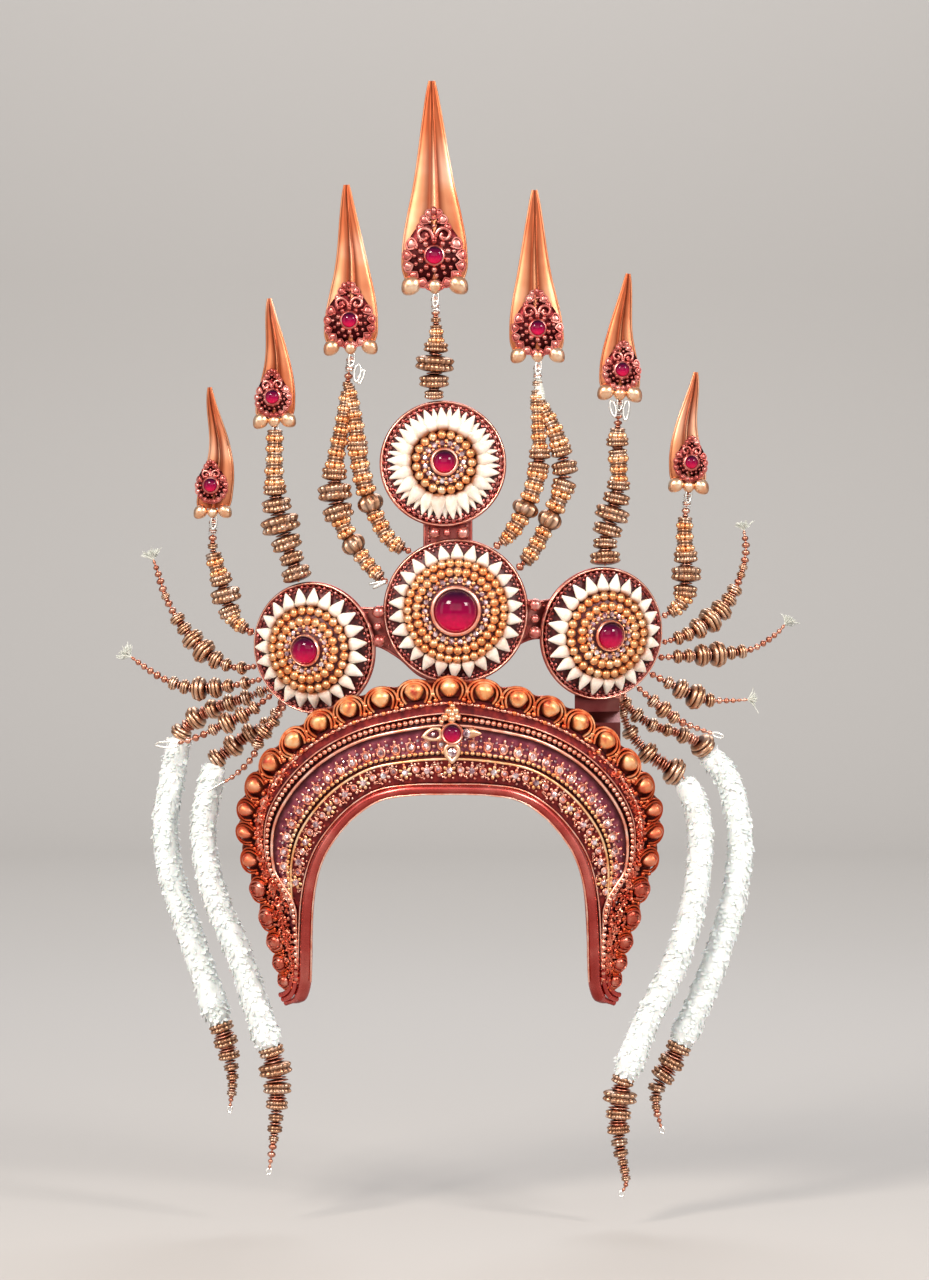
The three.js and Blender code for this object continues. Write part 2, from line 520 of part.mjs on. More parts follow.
function addGarland(name, { hanger, hangerBeads, garland, finial, finialBeads }) {
  const route = vectors(garland);
  const above = vectors(hanger);
  const below = vectors(finial);
  above.push(...[STRAIGHT, SEAT].map((distance) => beyond(route[0], route[1], distance)));
  below.unshift(...[SEAT, STRAIGHT].map((distance) => beyond(route.at(-1), route.at(-2), distance)));
  addPiece(`hanger_${name}`, beadedStrand(above, hangerBeads), 'brass');
  const steps = 10;
  const step = routeLength(route) / steps;
  const stops = Array.from({ length: steps + 1 }, (_, index) => [step * index, GARLAND_RADIUS]);
  addPiece(`garland_${name}`, sweep(route, stops, 8), 'floss');
  addPiece(`finial_${name}`, beadedStrand(below, finialBeads), 'brass');
}

addDiadem();
addBrowFlower();
addBackingPlate();
Object.keys(DISCS).forEach(addDisc);
BLADES.forEach((blade, index) => addBlade(index + 1, blade));
STEMS.forEach((strands, index) => addStem(index + 1, strands));
Object.entries(SIDE_STRANDS).forEach(([name, { disc, angle, points, beads }]) => {
  addPiece(name, beadedStrand([rimPoint(disc, angle, SEAT), ...vectors(points)], beads), 'brass');
});
Object.entries(GARLANDS).forEach(([name, parts]) => addGarland(name, parts));

export default crown;
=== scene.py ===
import json
import math

import bmesh
import bpy
import numpy as np
from mathutils import Matrix, Vector

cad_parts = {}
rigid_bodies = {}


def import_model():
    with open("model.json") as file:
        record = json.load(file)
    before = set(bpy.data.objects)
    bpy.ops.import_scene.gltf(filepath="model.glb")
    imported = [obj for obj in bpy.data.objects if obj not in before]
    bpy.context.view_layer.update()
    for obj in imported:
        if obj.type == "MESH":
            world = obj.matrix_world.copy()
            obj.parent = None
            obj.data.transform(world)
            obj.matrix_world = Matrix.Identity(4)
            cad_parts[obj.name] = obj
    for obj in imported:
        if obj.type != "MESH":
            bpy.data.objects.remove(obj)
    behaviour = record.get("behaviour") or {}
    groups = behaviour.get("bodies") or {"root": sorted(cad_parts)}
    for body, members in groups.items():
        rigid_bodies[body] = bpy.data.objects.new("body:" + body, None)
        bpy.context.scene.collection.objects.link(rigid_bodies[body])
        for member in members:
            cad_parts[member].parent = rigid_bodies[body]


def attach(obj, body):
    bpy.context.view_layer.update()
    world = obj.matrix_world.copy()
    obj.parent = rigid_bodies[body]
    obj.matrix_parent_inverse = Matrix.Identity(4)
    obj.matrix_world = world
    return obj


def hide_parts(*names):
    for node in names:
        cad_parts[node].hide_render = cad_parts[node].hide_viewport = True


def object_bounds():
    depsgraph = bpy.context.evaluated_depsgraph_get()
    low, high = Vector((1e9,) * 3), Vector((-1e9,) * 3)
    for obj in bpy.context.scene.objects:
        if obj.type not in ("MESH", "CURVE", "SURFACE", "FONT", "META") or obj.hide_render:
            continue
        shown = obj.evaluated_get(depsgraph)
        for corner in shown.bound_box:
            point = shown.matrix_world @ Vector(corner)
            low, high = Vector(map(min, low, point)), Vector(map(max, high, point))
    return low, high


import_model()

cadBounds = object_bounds()
mm = 0.001
inMetres = Matrix.Scale(mm, 4)
forward = (0, -1, 0)  # toward the viewer
upward = (0, 0, 1)
randomDraw = np.random.default_rng(7)

# Tables hold millimetres, x to the wearer's left, y to the back, z up, from the brow.


# Curves and places

def unit(vectors):
    vectors = np.asarray(vectors, float)
    return vectors / np.maximum(np.linalg.norm(vectors, axis=-1, keepdims=True), 1e-9)


def curvePoints(points, perSpan=16):
    # centripetal curve through the points, sampled the same number of times in each span
    knots = np.array(points, float)
    ends = np.vstack([2 * knots[0] - knots[1], knots, 2 * knots[-1] - knots[-2]])
    samples = []
    for span in range(len(knots) - 1):
        p0, p1, p2, p3 = ends[span:span + 4]
        d0, d1, d2 = (np.linalg.norm(b - a) ** 0.5 for a, b in ((p0, p1), (p1, p2), (p2, p3)))
        leave = ((p1 - p0) / d0 - (p2 - p0) / (d0 + d1) + (p2 - p1) / d1) * d1
        arrive = ((p2 - p1) / d1 - (p3 - p1) / (d1 + d2) + (p3 - p2) / d2) * d1
        for t in np.arange(perSpan) / perSpan:
            cubic = (2 * p1 - 2 * p2 + leave + arrive) * t ** 3
            samples.append(p1 + leave * t + (3 * p2 - 3 * p1 - 2 * leave - arrive) * t * t + cubic)
    return np.array(samples + [knots[-1]])


def atShare(samples, share):
    place = np.clip(np.asarray(share, float), 0, 1) * (len(samples) - 1)
    low = np.minimum(place.astype(int), len(samples) - 2)
    part = (place - low)[..., None]
    return samples[low] * (1 - part) + samples[low + 1] * part


def reachedAlong(samples):
    steps = np.linalg.norm(np.diff(samples, axis=0), axis=1)
    return np.concatenate([[0], np.cumsum(steps)])


def routeLength(samples):
    return np.linalg.norm(np.diff(samples, axis=0), axis=1).sum()


def alongRoute(samples, distances):
    # points and directions at distances along a sampled route
    reached = reachedAlong(samples)
    distances = np.asarray(distances, float)
    here, after, before = (np.stack([np.interp(at, reached, column) for column in samples.T], axis=-1)
                           for at in (distances, distances + 0.5, distances - 0.5))
    return here, unit(after - before)


def squareTo(directions, guide=(0, 1, 0)):
    # a unit vector at right angles to each direction, as near to the guide as it goes
    directions = unit(directions)
    guide = np.broadcast_to(np.array(guide, float), directions.shape)
    return unit(guide - directions * np.sum(guide * directions, axis=-1, keepdims=True))


def turnsOf(count):
    return np.arange(count) * 2 * np.pi / count


def ringPoints(radius, height, angles):
    return np.stack([radius * np.cos(angles), radius * np.sin(angles), 0 * angles + height], axis=1)


# Shells, each a tuple of points, faces and how dark each point is, by patina and, on some shells, by painted
# shade

def loft(rings, patinaAndShade=None, closed=True, capped=False):
    count = len(rings[0])
    points = np.concatenate([np.asarray(ring, float) for ring in rings])
    last = (len(rings) - 1) * count
    faces = []
    for start in range(0, last, count):
        for side in range(count if closed else count - 1):
            a, b = start + side, start + (side + 1) % count
            faces.append((a, b, b + count, a + count))
    if capped:
        faces += [tuple(range(count))[::-1], tuple(range(last, last + count))]
    shade = np.zeros(len(points)) if patinaAndShade is None else np.concatenate([np.ravel(row) for row in patinaAndShade])
    return points, faces, shade


def lathe(profile, turns=24, flutes=0, fluteDepth=0.0, fluteFrom=0.4):
    # profile rows are radius, height and patina; flutes cut the wide part
    angles = turnsOf(turns)
    groove = 0.5 - 0.5 * np.cos(flutes * angles)
    rings, shades = [], []
    for radius, height, dark in profile:
        wide = radius >= fluteFrom
        rings.append(ringPoints(radius * (1 - fluteDepth * groove * wide), height, angles))
        shades.append(np.maximum(dark, 0.85 * groove ** 2 * (fluteDepth > 0) * wide))
    return loft(rings, shades)


def ringTube(route, radius, sides=6, closed=True):
    # a round tube along a route, which closes on itself or ends in caps; the half of it facing away from up,
    # toward what it lies on, is painted dark as shade
    if closed:
        ahead = unit(np.roll(route, -1, axis=0) - np.roll(route, 1, axis=0))
    else:
        ahead = unit(np.gradient(route, axis=0))
    side = unit(np.cross(ahead, upward))
    over = np.cross(side, ahead)
    angles = turnsOf(sides)
    rings = [route[k] + radius * (np.outer(np.cos(angles), side[k]) + np.outer(np.sin(angles), over[k]))
             for k in range(len(route))]
    if closed:
        rings.append(rings[0])
    return loft(rings, [0.8 * (np.sin(angles) < -0.3)] * len(rings), capped=not closed)


def moved(shell, matrix):
    points, faces, shade = shell
    matrix = np.array(matrix)
    return points @ matrix[:3, :3].T + matrix[:3, 3], faces, shade


def setLayer(mesh, name, values, kind="FLOAT"):
    # a number or a direction at each point of the mesh
    layer = mesh.attributes.new(name, kind, "POINT")
    layer.data.foreach_set("value" if kind == "FLOAT" else "vector", np.asarray(values, np.float32).ravel())


def cleaned(mesh, sharpAngle):
    # poles and seams closed, faces outward, smooth but for real edges
    work = bmesh.new()
    work.from_mesh(mesh)
    bmesh.ops.remove_doubles(work, verts=work.verts, dist=1e-6)
    bmesh.ops.recalc_face_normals(work, faces=work.faces)
    work.to_mesh(mesh)
    work.free()
    mesh.shade_smooth()
    mesh.set_sharp_from_angle(angle=math.radians(sharpAngle))
    return mesh


def meshOf(shells, sharpAngle=40):
    points, faces, shades = [], [], []
    for shellPoints, shellFaces, shade in shells:
        faces.extend(tuple(corner + len(points) for corner in face) for face in shellFaces)
        points.extend(np.asarray(shellPoints, float).tolist())
        shades.extend(shade)
    mesh = bpy.data.meshes.new("shape")
    mesh.from_pydata(points, [], faces)
    setLayer(mesh, "patinaAndShade", shades)
    return cleaned(mesh, sharpAngle)


def shapeFrom(shells, sharpAngle=40):
    # a hidden object for the node trees to repeat, one unit across
    return bpy.data.objects.new("shape", meshOf(shells, sharpAngle))


# Node trees

def addNode(tree, kind, links=None, **settings):
    node = tree.nodes.new(kind)
    for name, value in settings.items():
        setattr(node, name, value)
    for key, value in (links or {}).items():
        if isinstance(value, bpy.types.NodeSocket):
            tree.links.new(value, node.inputs[key])
        else:
            node.inputs[key].default_value = value
    return node


def newTree(name, inputs):
    tree = bpy.data.node_groups.new(name, "GeometryNodeTree")
    for label, kind in [("Geometry", "Geometry")] + inputs:
        tree.interface.new_socket(name=label, in_out="INPUT", socket_type="NodeSocket" + kind)
    tree.interface.new_socket(name="Geometry", in_out="OUTPUT", socket_type="NodeSocketGeometry")
    return tree, addNode(tree, "NodeGroupInput").outputs


def readLayer(tree, name, kind):
    return addNode(tree, "GeometryNodeInputNamedAttribute", {"Name": name}, data_type=kind).outputs[0]


def endTree(tree, geometry, finish):
    real = addNode(tree, "GeometryNodeRealizeInstances", {"Geometry": geometry})
    painted = addNode(tree, "GeometryNodeSetMaterial", {"Geometry": real.outputs[0], "Material": finish})
    addNode(tree, "NodeGroupOutput", {"Geometry": painted.outputs[0]})
    return tree


def placingTree():
    # sets one shape on every point, its Z along facing and its Y along outward
    tree, given = newTree("setOnPoints", [("Shape", "Object"), ("Finish", "Material"), ("Tilt", "Float"),
                                          ("Seed", "Int")])
    facing, outward, size = (readLayer(tree, name, "FLOAT_VECTOR") for name in ("facing", "outward", "size"))
    turn = addNode(tree, "FunctionNodeAxesToRotation", {0: facing, 1: outward},
                   primary_axis="Z", secondary_axis="Y")
    wobble = addNode(tree, "FunctionNodeRandomValue", {"Min": (-1, -1, -1), "Max": (1, 1, 1),
                                                       "Seed": given["Seed"]}, data_type="FLOAT_VECTOR")
    tilt = addNode(tree, "ShaderNodeVectorMath", {0: wobble.outputs[0], "Scale": given["Tilt"]},
                   operation="SCALE")
    tilted = addNode(tree, "FunctionNodeEulerToRotation", {0: tilt.outputs[0]})
    rotation = addNode(tree, "FunctionNodeRotateRotation", {0: turn.outputs[0], 1: tilted.outputs[0]},
                       rotation_space="LOCAL")
    shape = addNode(tree, "GeometryNodeObjectInfo", {"Object": given["Shape"]})
    placed = addNode(tree, "GeometryNodeInstanceOnPoints",
                     {"Points": given["Geometry"], "Instance": shape.outputs["Geometry"],
                      "Rotation": rotation.outputs[0], "Scale": size})
    return endTree(tree, placed.outputs[0], given["Finish"])


def wireTree():
    # a round wire along every chain of edges, as thick as each point says
    tree, given = newTree("roundWire", [("Finish", "Material"), ("Sides", "Int")])
    route = addNode(tree, "GeometryNodeMeshToCurve", {"Mesh": given["Geometry"]})
    ring = addNode(tree, "GeometryNodeCurvePrimitiveCircle", {"Resolution": given["Sides"], "Radius": 1.0})
    tube = addNode(tree, "GeometryNodeCurveToMesh",
                   {"Curve": route.outputs[0], "Profile Curve": ring.outputs[0],
                    "Scale": readLayer(tree, "thickness", "FLOAT"), "Fill Caps": True})
    return endTree(tree, tube.outputs[0], given["Finish"])


placing = placingTree()
wiring = wireTree()


def grown(holderMesh, tree, values):
    # the tree's result as a plain mesh; its inputs are set before the holder is first evaluated
    holder = bpy.data.objects.new("holder", holderMesh)
    modifier = holder.modifiers.new(tree.name, "NODES")
    modifier.node_group = tree
    for socket in tree.interface.items_tree:
        if socket.in_out == "INPUT" and socket.name in values:
            modifier[socket.identifier] = values[socket.name]
    bpy.context.scene.collection.objects.link(holder)
    graph = bpy.context.evaluated_depsgraph_get()
    mesh = bpy.data.meshes.new_from_object(holder.evaluated_get(graph))
    bpy.data.objects.remove(holder)
    for used in ("facing", "outward", "size", "thickness"):
        if used in mesh.attributes:
            mesh.attributes.remove(mesh.attributes[used])
    return mesh


def setShapes(shape, finish, points, facing, outward, sizes, tilt=0.0, seed=1, tones=None):
    # points in millimetres, sizes in millimetres for each axis of the shape
    points = np.atleast_2d(np.asarray(points, float)) * mm
    holder = bpy.data.meshes.new("points")
    holder.from_pydata(points.tolist(), [], [])
    for name, rows in (("facing", facing), ("outward", outward), ("size", np.asarray(sizes, float) * mm)):
        setLayer(holder, name, np.broadcast_to(np.asarray(rows, float), points.shape), "FLOAT_VECTOR")
    setLayer(holder, "tone", randomDraw.random(len(points)) if tones is None else tones)
    return grown(holder, placing, {"Shape": shape, "Finish": finish, "Tilt": tilt, "Seed": seed})


def drawWires(finish, routes, radii, sides=8, rings=False):
    # routes in millimetres; a ring joins its last point to its first; one radius serves all routes
    points, edges, thickness = [], [], []
    for route, radius in zip(routes, radii if isinstance(radii, list) else [radii] * len(routes)):
        first = len(points)
        points.extend((np.asarray(route, float) * mm).tolist())
        edges.extend((at, at + 1) for at in range(first, len(points) - 1))
        if rings:
            edges.append((len(points) - 1, first))
        thickness.extend(np.broadcast_to(np.asarray(radius, float) * mm, len(route)).tolist())
    mesh = bpy.data.meshes.new("route")
    mesh.from_pydata(points, edges, [])
    setLayer(mesh, "thickness", thickness)
    return cleaned(grown(mesh, wiring, {"Finish": finish, "Sides": sides}), 50)


def makePiece(name, meshes, finish, nodes=()):
    # one object from its meshes, riding on the crown
    whole = bmesh.new()
    for mesh in meshes:
        for layer in ("patinaAndShade", "tone"):
            if layer not in mesh.attributes:
                setLayer(mesh, layer, np.zeros(len(mesh.vertices)))
        whole.from_mesh(mesh)
    mesh = bpy.data.meshes.new(name)
    whole.to_mesh(mesh)
    whole.free()
    mesh.materials.clear()
    mesh.materials.append(finish)
    mesh.polygons.foreach_set("material_index", np.zeros(len(mesh.polygons), np.int32))
    piece = bpy.data.objects.new(name, mesh)
    bpy.context.scene.collection.objects.link(piece)
    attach(piece, "root")
    if nodes:
        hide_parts(*nodes)


# Finishes


def linear(hexColour):
    parts = [int(hexColour[at:at + 2], 16) / 255 for at in (0, 2, 4)]
    return [part / 12.92 if part <= 0.04045 else ((part + 0.055) / 1.055) ** 2.4 for part in parts] + [1]


def newFinish(name, shader):
    # a principled shader with its fixed values, and the place on the piece that patterns read
    finish = bpy.data.materials.new(name)
    finish.use_nodes = True
    tree = finish.node_tree
    tree.nodes.clear()
    surface = addNode(tree, "ShaderNodeBsdfPrincipled", shader)
    addNode(tree, "ShaderNodeOutputMaterial", {"Surface": surface.outputs[0]})
    return finish, tree, surface.inputs, addNode(tree, "ShaderNodeTexCoord").outputs["Object"]


def noiseOf(tree, place, grain, detail):
    # patches about as wide as the grain, in millimetres
    noise = addNode(tree, "ShaderNodeTexNoise",
                    {"Vector": place, "Scale": 1 / (grain * mm), "Detail": detail})
    return noise.outputs["Fac"]


def rampOf(tree, value, stops):
    ramp = addNode(tree, "ShaderNodeValToRGB", {"Fac": value})
    elements = ramp.color_ramp.elements
    while len(elements) < len(stops):
        elements.new(0.5)
    for element, (position, colour) in zip(elements, stops):
        element.position = position
        element.color = linear(colour)
    return ramp.outputs["Color"]


def patches(tree, place, grain, colours, low=0.3, high=0.7):
    stops = [(low + (high - low) * index / (len(colours) - 1), colour)
             for index, colour in enumerate(colours)]
    return rampOf(tree, noiseOf(tree, place, grain, 3.0), stops)


def layerOf(tree, name):
    return addNode(tree, "ShaderNodeAttribute", attribute_name=name).outputs["Fac"]


def mixed(tree, share, first, second, blend="MIX"):
    mix = addNode(tree, "ShaderNodeMix", {"Factor": share, 6: first, 7: second}, data_type="RGBA",
                  blend_type=blend)
    return mix.outputs[2]


def scaled(tree, value, low, high):
    span = addNode(tree, "ShaderNodeMapRange", {"Value": value, "To Min": low, "To Max": high})
    return span.outputs["Result"]


def addBump(tree, inputs, fac, height, strength):
    bump = addNode(tree, "ShaderNodeBump", {"Height": fac, "Strength": strength, "Distance": height * mm})
    tree.links.new(bump.outputs["Normal"], inputs["Normal"])


def roughen(tree, inputs, place, grain, height, low, high):
    # fine unevenness of the surface and of its gloss
    fac = noiseOf(tree, place, grain, 4.0)
    addBump(tree, inputs, fac, height, 0.6)
    tree.links.new(scaled(tree, fac, low, high), inputs["Roughness"])


def agedMetal(name, colours, recess, roughness, grain=2.0, patinaAndShade=0.85, metal=1.0, bump=0.03, warm=0.4):
    # metal cast or pressed, rubbed bright on the high parts and dark where polish doesn't reach; the same
    # dark layer also carries painted shade on some pieces
    finish, tree, inputs, place = newFinish(name, {"Metallic": metal})
    bright = patches(tree, place, grain * 3, colours)
    toned = mixed(tree, scaled(tree, layerOf(tree, "tone"), 0.0, warm), bright, linear(colours[0]))
    dark = scaled(tree, layerOf(tree, "patinaAndShade"), 0.0, patinaAndShade)
    tree.links.new(mixed(tree, dark, toned, linear(recess)), inputs["Base Color"])
    roughen(tree, inputs, place, grain * 0.25, bump, *roughness)
    return finish


# cast and gilt copper alloy: orange on the domes, deep red in the hollows
castCopper = agedMetal("castCopper", ("BE4632", "DE7056", "F6AE92"), "3E0608", (0.24, 0.38), patinaAndShade=0.96)
# bare copper of the teeth down the legs: dull rose with bright edges
legCopper = agedMetal("legCopper", ("A8483A", "D06C56", "F4B4A0"), "40100E", (0.3, 0.44), patinaAndShade=0.95)
# worn gilding on the arches between them: clear orange
archCopper = agedMetal("archCopper", ("CC5230", "EE8A58", "FCC090"), "5C1208", (0.28, 0.42), warm=0.9)
# gilding left on the crest's domes: yellow orange above, red brown round their feet, where patina and painted
# shade darken them
domeGilt = agedMetal("domeGilt", ("C84A3A", "FCB070", "FFDCAC"), "82260E", (0.34, 0.48), metal=0.8, warm=0.95)
# drawn copper-gilt wire: pale peach lines
giltCopperWire = agedMetal("giltCopperWire", ("E88C70", "F8B49C", "FFD8C6"), "6A1C20", (0.24, 0.38))
# polished sheet copper of the blades: wide warm reflections, faint polishing marks; its pale peach, laid on
# the flanks low on the leaf, is a painted highlight
polishedCopper = agedMetal("polishedCopper", ("AC5634", "D08E68", "F0C2A6"), "6A2410", (0.34, 0.46),
                           grain=14.0, patinaAndShade=0.95, bump=0.01, warm=0.85)
# lacquered rose copper of the rolled rim
roseCopperRoll = agedMetal("roseCopperRoll", ("A63A34", "BC4E48", "D8766C"), "4E0E12", (0.22, 0.34),
                           grain=9.0, bump=0.015)
# dull copper sheet of the disc backs and the backing plate
discCopper = agedMetal("discCopper", ("9C4844", "BC6860", "D89084"), "3A1014", (0.28, 0.44), grain=6.0)
# gilt beads: orange gold with brown between them
giltBead = agedMetal("giltBead", ("EA9C62", "FCC692", "FFE8C6"), "8A4418", (0.24, 0.38), metal=0.9)
# antique brass of the strands: beige high edges, dark brown grooves
antiqueBrass = agedMetal("antiqueBrass", ("BC8868", "DCAC8A", "F6D8C2"), "3E1C14", (0.28, 0.42), patinaAndShade=0.92)
# small beads threaded between them, brown copper
brownCopperBead = agedMetal("brownCopperBead", ("A86450", "CC8C74", "F0C0AC"), "3C120E", (0.26, 0.4))
# chased and beaded rose copper of the small jewelled work
roseCopperBead = agedMetal("roseCopperBead", ("AA4C46", "D07870", "F2B4A8"), "38060C", (0.26, 0.4),
                           patinaAndShade=0.97)
# cream gilt, paler than the beads
hornGilt = agedMetal("hornGilt", ("E6A47E", "F2C6A0", "FCE6CC"), "8A3C20", (0.24, 0.38), patinaAndShade=0.7)
# tinned wire
silverWire = agedMetal("silverWire", ("CCCAC4", "E6E4DE", "F6F4F0"), "6A645C", (0.24, 0.36))

# translucent enamel over copper: oxblood on the raised bands, plum in the sunk band
burgundyEnamel, tree, inputs, place = newFinish("burgundyEnamel", {"Metallic": 0.8, "Coat Weight": 0.1,
                                                                   "Coat Roughness": 0.3})
red = patches(tree, place, 4.0, ("4C0C10", "701A1C", "983028"))
plum = patches(tree, place, 5.0, ("642434", "863A4A", "A85C68"))
banded = mixed(tree, layerOf(tree, "tone"), red, plum)
tree.links.new(mixed(tree, layerOf(tree, "patinaAndShade"), banded, linear("220608")), inputs["Base Color"])
roughen(tree, inputs, place, 0.8, 0.09, 0.34, 0.55)

# pressed glass cabochon on foil: wine dark above, with a painted glow along its lower edge standing for light
# through the glass
rubyGlass, tree, inputs, place = newFinish("rubyGlass", {"Roughness": 0.06, "IOR": 1.45,
                                                         "Specular IOR Level": 0.25})
glow = rampOf(tree, layerOf(tree, "tone"), [(0.1, "2C0022"), (0.55, "8C0038"), (0.95, "DE0C4A")])
cloud = patches(tree, place, 3.0, ("8A7078", "FFFFFF"))
tree.links.new(mixed(tree, 0.35, glow, cloud, "MULTIPLY"), inputs["Base Color"])

# cut glass with foil behind: each facet mirrors on its own, a little lilac
foiledCrystal, tree, inputs, place = newFinish("foiledCrystal", {"Metallic": 0.75, "Roughness": 0.08,
                                                                 "Coat Weight": 0.6, "Coat Roughness": 0.02})
tree.links.new(patches(tree, place, 3.0, ("7E5260", "D4AEB0", "FAF0F2"), 0.35, 0.65), inputs["Base Color"])

# moulded pearl resin: cream, with warm brown painted shade where it meets the beads
ivoryPetal, tree, inputs, place = newFinish("ivoryPetal", {"Coat Weight": 0.2, "Coat Roughness": 0.25,
                                                           "Subsurface Weight": 0.12,
                                                           "Subsurface Scale": 0.002})
cream = patches(tree, place, 4.0, ("ECDAC4", "F8EEDF", "FFF8EC"))
blush = mixed(tree, scaled(tree, layerOf(tree, "tone"), 0.0, 0.35), cream, linear("EBCFC0"))
tree.links.new(mixed(tree, layerOf(tree, "patinaAndShade"), blush, linear("8E5638")), inputs["Base Color"])
roughen(tree, inputs, place, 0.9, 0.05, 0.3, 0.45)

# dark lacquer behind the petals
maroonGround, tree, inputs, place = newFinish("maroonGround", {"Metallic": 0.3})
tree.links.new(patches(tree, place, 2.5, ("2A0608", "4A1014", "681C20")), inputs["Base Color"])
roughen(tree, inputs, place, 0.7, 0.1, 0.35, 0.55)

# white fabric petals, matt, faintly green-grey in their shade
chenille, tree, inputs, place = newFinish("chenille", {"Roughness": 0.85, "Sheen Weight": 0.3,
                                                       "Sheen Roughness": 0.5, "Subsurface Weight": 0.1,
                                                       "Subsurface Scale": 0.002})
white = patches(tree, place, 6.0, ("D8DCDA", "E6E9E7", "F0F2F1"))
toned = mixed(tree, scaled(tree, layerOf(tree, "tone"), 0.0, 0.5), white, linear("CED6D3"))
shaded = mixed(tree, scaled(tree, layerOf(tree, "patinaAndShade"), 0.0, 0.55), toned, linear("98A49F"))
tree.links.new(shaded, inputs["Base Color"])
addBump(tree, inputs, noiseOf(tree, place, 0.5, 2.0), 0.1, 0.5)

# frayed cotton thread, grey white
threadEnd, tree, inputs, place = newFinish("threadEnd", {"Roughness": 0.9, "Sheen Weight": 0.2})
tree.links.new(patches(tree, place, 1.5, ("B0B4AA", "E6E8E0")), inputs["Base Color"])
print("finishes ready")


# Shapes that the trees repeat, each one unit across; profile rows are radius, height and darkness, which is
# patina in the hollows and painted shade at the petals' roots

flangedHalf = [(0, 0.5, 1), (0.24, 0.5, 1), (0.33, 0.46, 0.6), (0.45, 0.37, 0), (0.5, 0.25, 0),
               (0.48, 0.13, 0), (0.45, 0.04, 0.7)]
ringedHalf = [(0, 0.5, 1), (0.22, 0.5, 1), (0.33, 0.45, 0.4), (0.42, 0.37, 0), (0.44, 0.28, 0),
              (0.41, 0.2, 0.85), (0.4, 0.17, 1), (0.47, 0.13, 0.2), (0.5, 0.04, 0)]
melonRows = [(0, -0.5, 1), (0.26, -0.5, 0.6), (0.3, -0.42, 0.5), (0.27, -0.37, 1), (0.42, -0.24, 0.3),
             (0.49, -0.08, 0), (0.5, 0.06, 0), (0.46, 0.2, 0.1), (0.34, 0.33, 0.5), (0.24, 0.39, 1),
             (0.28, 0.44, 0.5), (0.25, 0.5, 0.6), (0, 0.5, 1)]
# petal rows darken toward the root as painted shade
petalRows = [(0, -0.5, 1), (0.3, -0.48, 1), (0.46, -0.4, 0.6), (0.5, -0.27, 0.15), (0.44, -0.08, 0.02),
             (0.31, 0.13, 0), (0.17, 0.33, 0), (0.07, 0.46, 0), (0, 0.5, 0)]
lobeRows = [(0, -0.5, 0.3), (0.2, -0.47, 0.1), (0.37, -0.37, 0), (0.47, -0.2, 0), (0.5, -0.02, 0),
            (0.45, 0.16, 0), (0.33, 0.32, 0.1), (0.17, 0.45, 0.5), (0, 0.5, 0.8)]
shellShape = {"halfWidth": 0.4, "halfHeight": 0.42, "rise": 0.16, "turns": 20, "rows": 4, "edge": 0.09}


def bead(turns, rows):
    heights = np.cos(np.linspace(0, np.pi, rows + 1))
    return lathe([(0.5 * math.sqrt(max(0, 1 - h * h)), -0.5 * h, 0.75 * max(0, abs(h) - 0.5))
                  for h in heights], turns)


def bothHalves(half, middle, *turning):
    # a bead from its upper half
    return lathe([(r, -h, dark) for r, h, dark in half] + middle + half[::-1], *turning)


def lyingLathe(rows, turns):
    # turned round Y, its root at the low end
    points, faces, shade = lathe(rows, turns)
    return points[:, [0, 2, 1]], faces, shade


def tear(halfWidth, halfHeight, middle, turns, height=0.0):
    # outline with a round head outward and a point inward
    t = turnsOf(turns)
    across = 1.3 * halfWidth * np.sin(t) * np.sin(t / 2)
    return np.stack([across, middle - halfHeight * np.cos(t), 0 * t + height], axis=1)


def cutStone():
    # a faceted stone: table, crown and girdle
    return loft([ringPoints(radius, height, turnsOf(8) + turn)
                 for radius, height, turn in ((0, -0.2, 0), (0.5, -0.2, 0), (0.5, 0, 0), (0.36, 0.28, 0.39),
                                              (0.2, 0.36, 0), (0, 0.36, 0))])


def fluffPetal():
    # a narrow closed leaf along Z, its root painted dark as shade
    rings = [np.array([[width, 0, height], [0, thick, height], [-width, 0, height], [0, -thick, height]])
             for width, thick, height in ((0.2, 0.1, -0.5), (0.5, 0.2, -0.1), (0.42, 0.14, 0.25),
                                          (0.0, 0.0, 0.5))]
    return loft(rings, [np.full(4, dark) for dark in (1, 0.35, 0, 0)], capped=True)


def cuppedShell():
    # a small shell, domed inside a thick rolled edge
    halfWidth, halfHeight, turns = shellShape["halfWidth"], shellShape["halfHeight"], shellShape["turns"]
    rings, shades = [], []
    for row in range(shellShape["rows"] + 1):
        lean = 0.5 * math.pi * row / shellShape["rows"]
        rings.append(tear(halfWidth * math.cos(lean), halfHeight * math.cos(lean),
                          0.12 * halfHeight * (1 - math.cos(lean)), turns,
                          shellShape["rise"] * math.sin(lean)))
        shades.append(np.full(turns, 0.9 if row == 0 else max(0, 0.4 - 0.2 * row)))
    foot = rings[0] * [1, 1, 0] + [0, 0, -1.0]
    dome = loft([foot * [0, 0, 1], foot] + rings, [np.ones(turns)] * 2 + shades)
    return [dome, ringTube(tear(0.5, 0.5, 0, 24, 0.1), shellShape["edge"])]


def curls():
    # two small curls of wire
    curl = ringPoints(0.26, 0, np.linspace(0.3, 5.4, 14))
    return [ringTube(route, 0.1, 5, closed=False)
            for route in (curl + [-0.24, 0, 0], curl * [-1, 1, 1] * 0.8 + [0.26, 0.08, 0])]


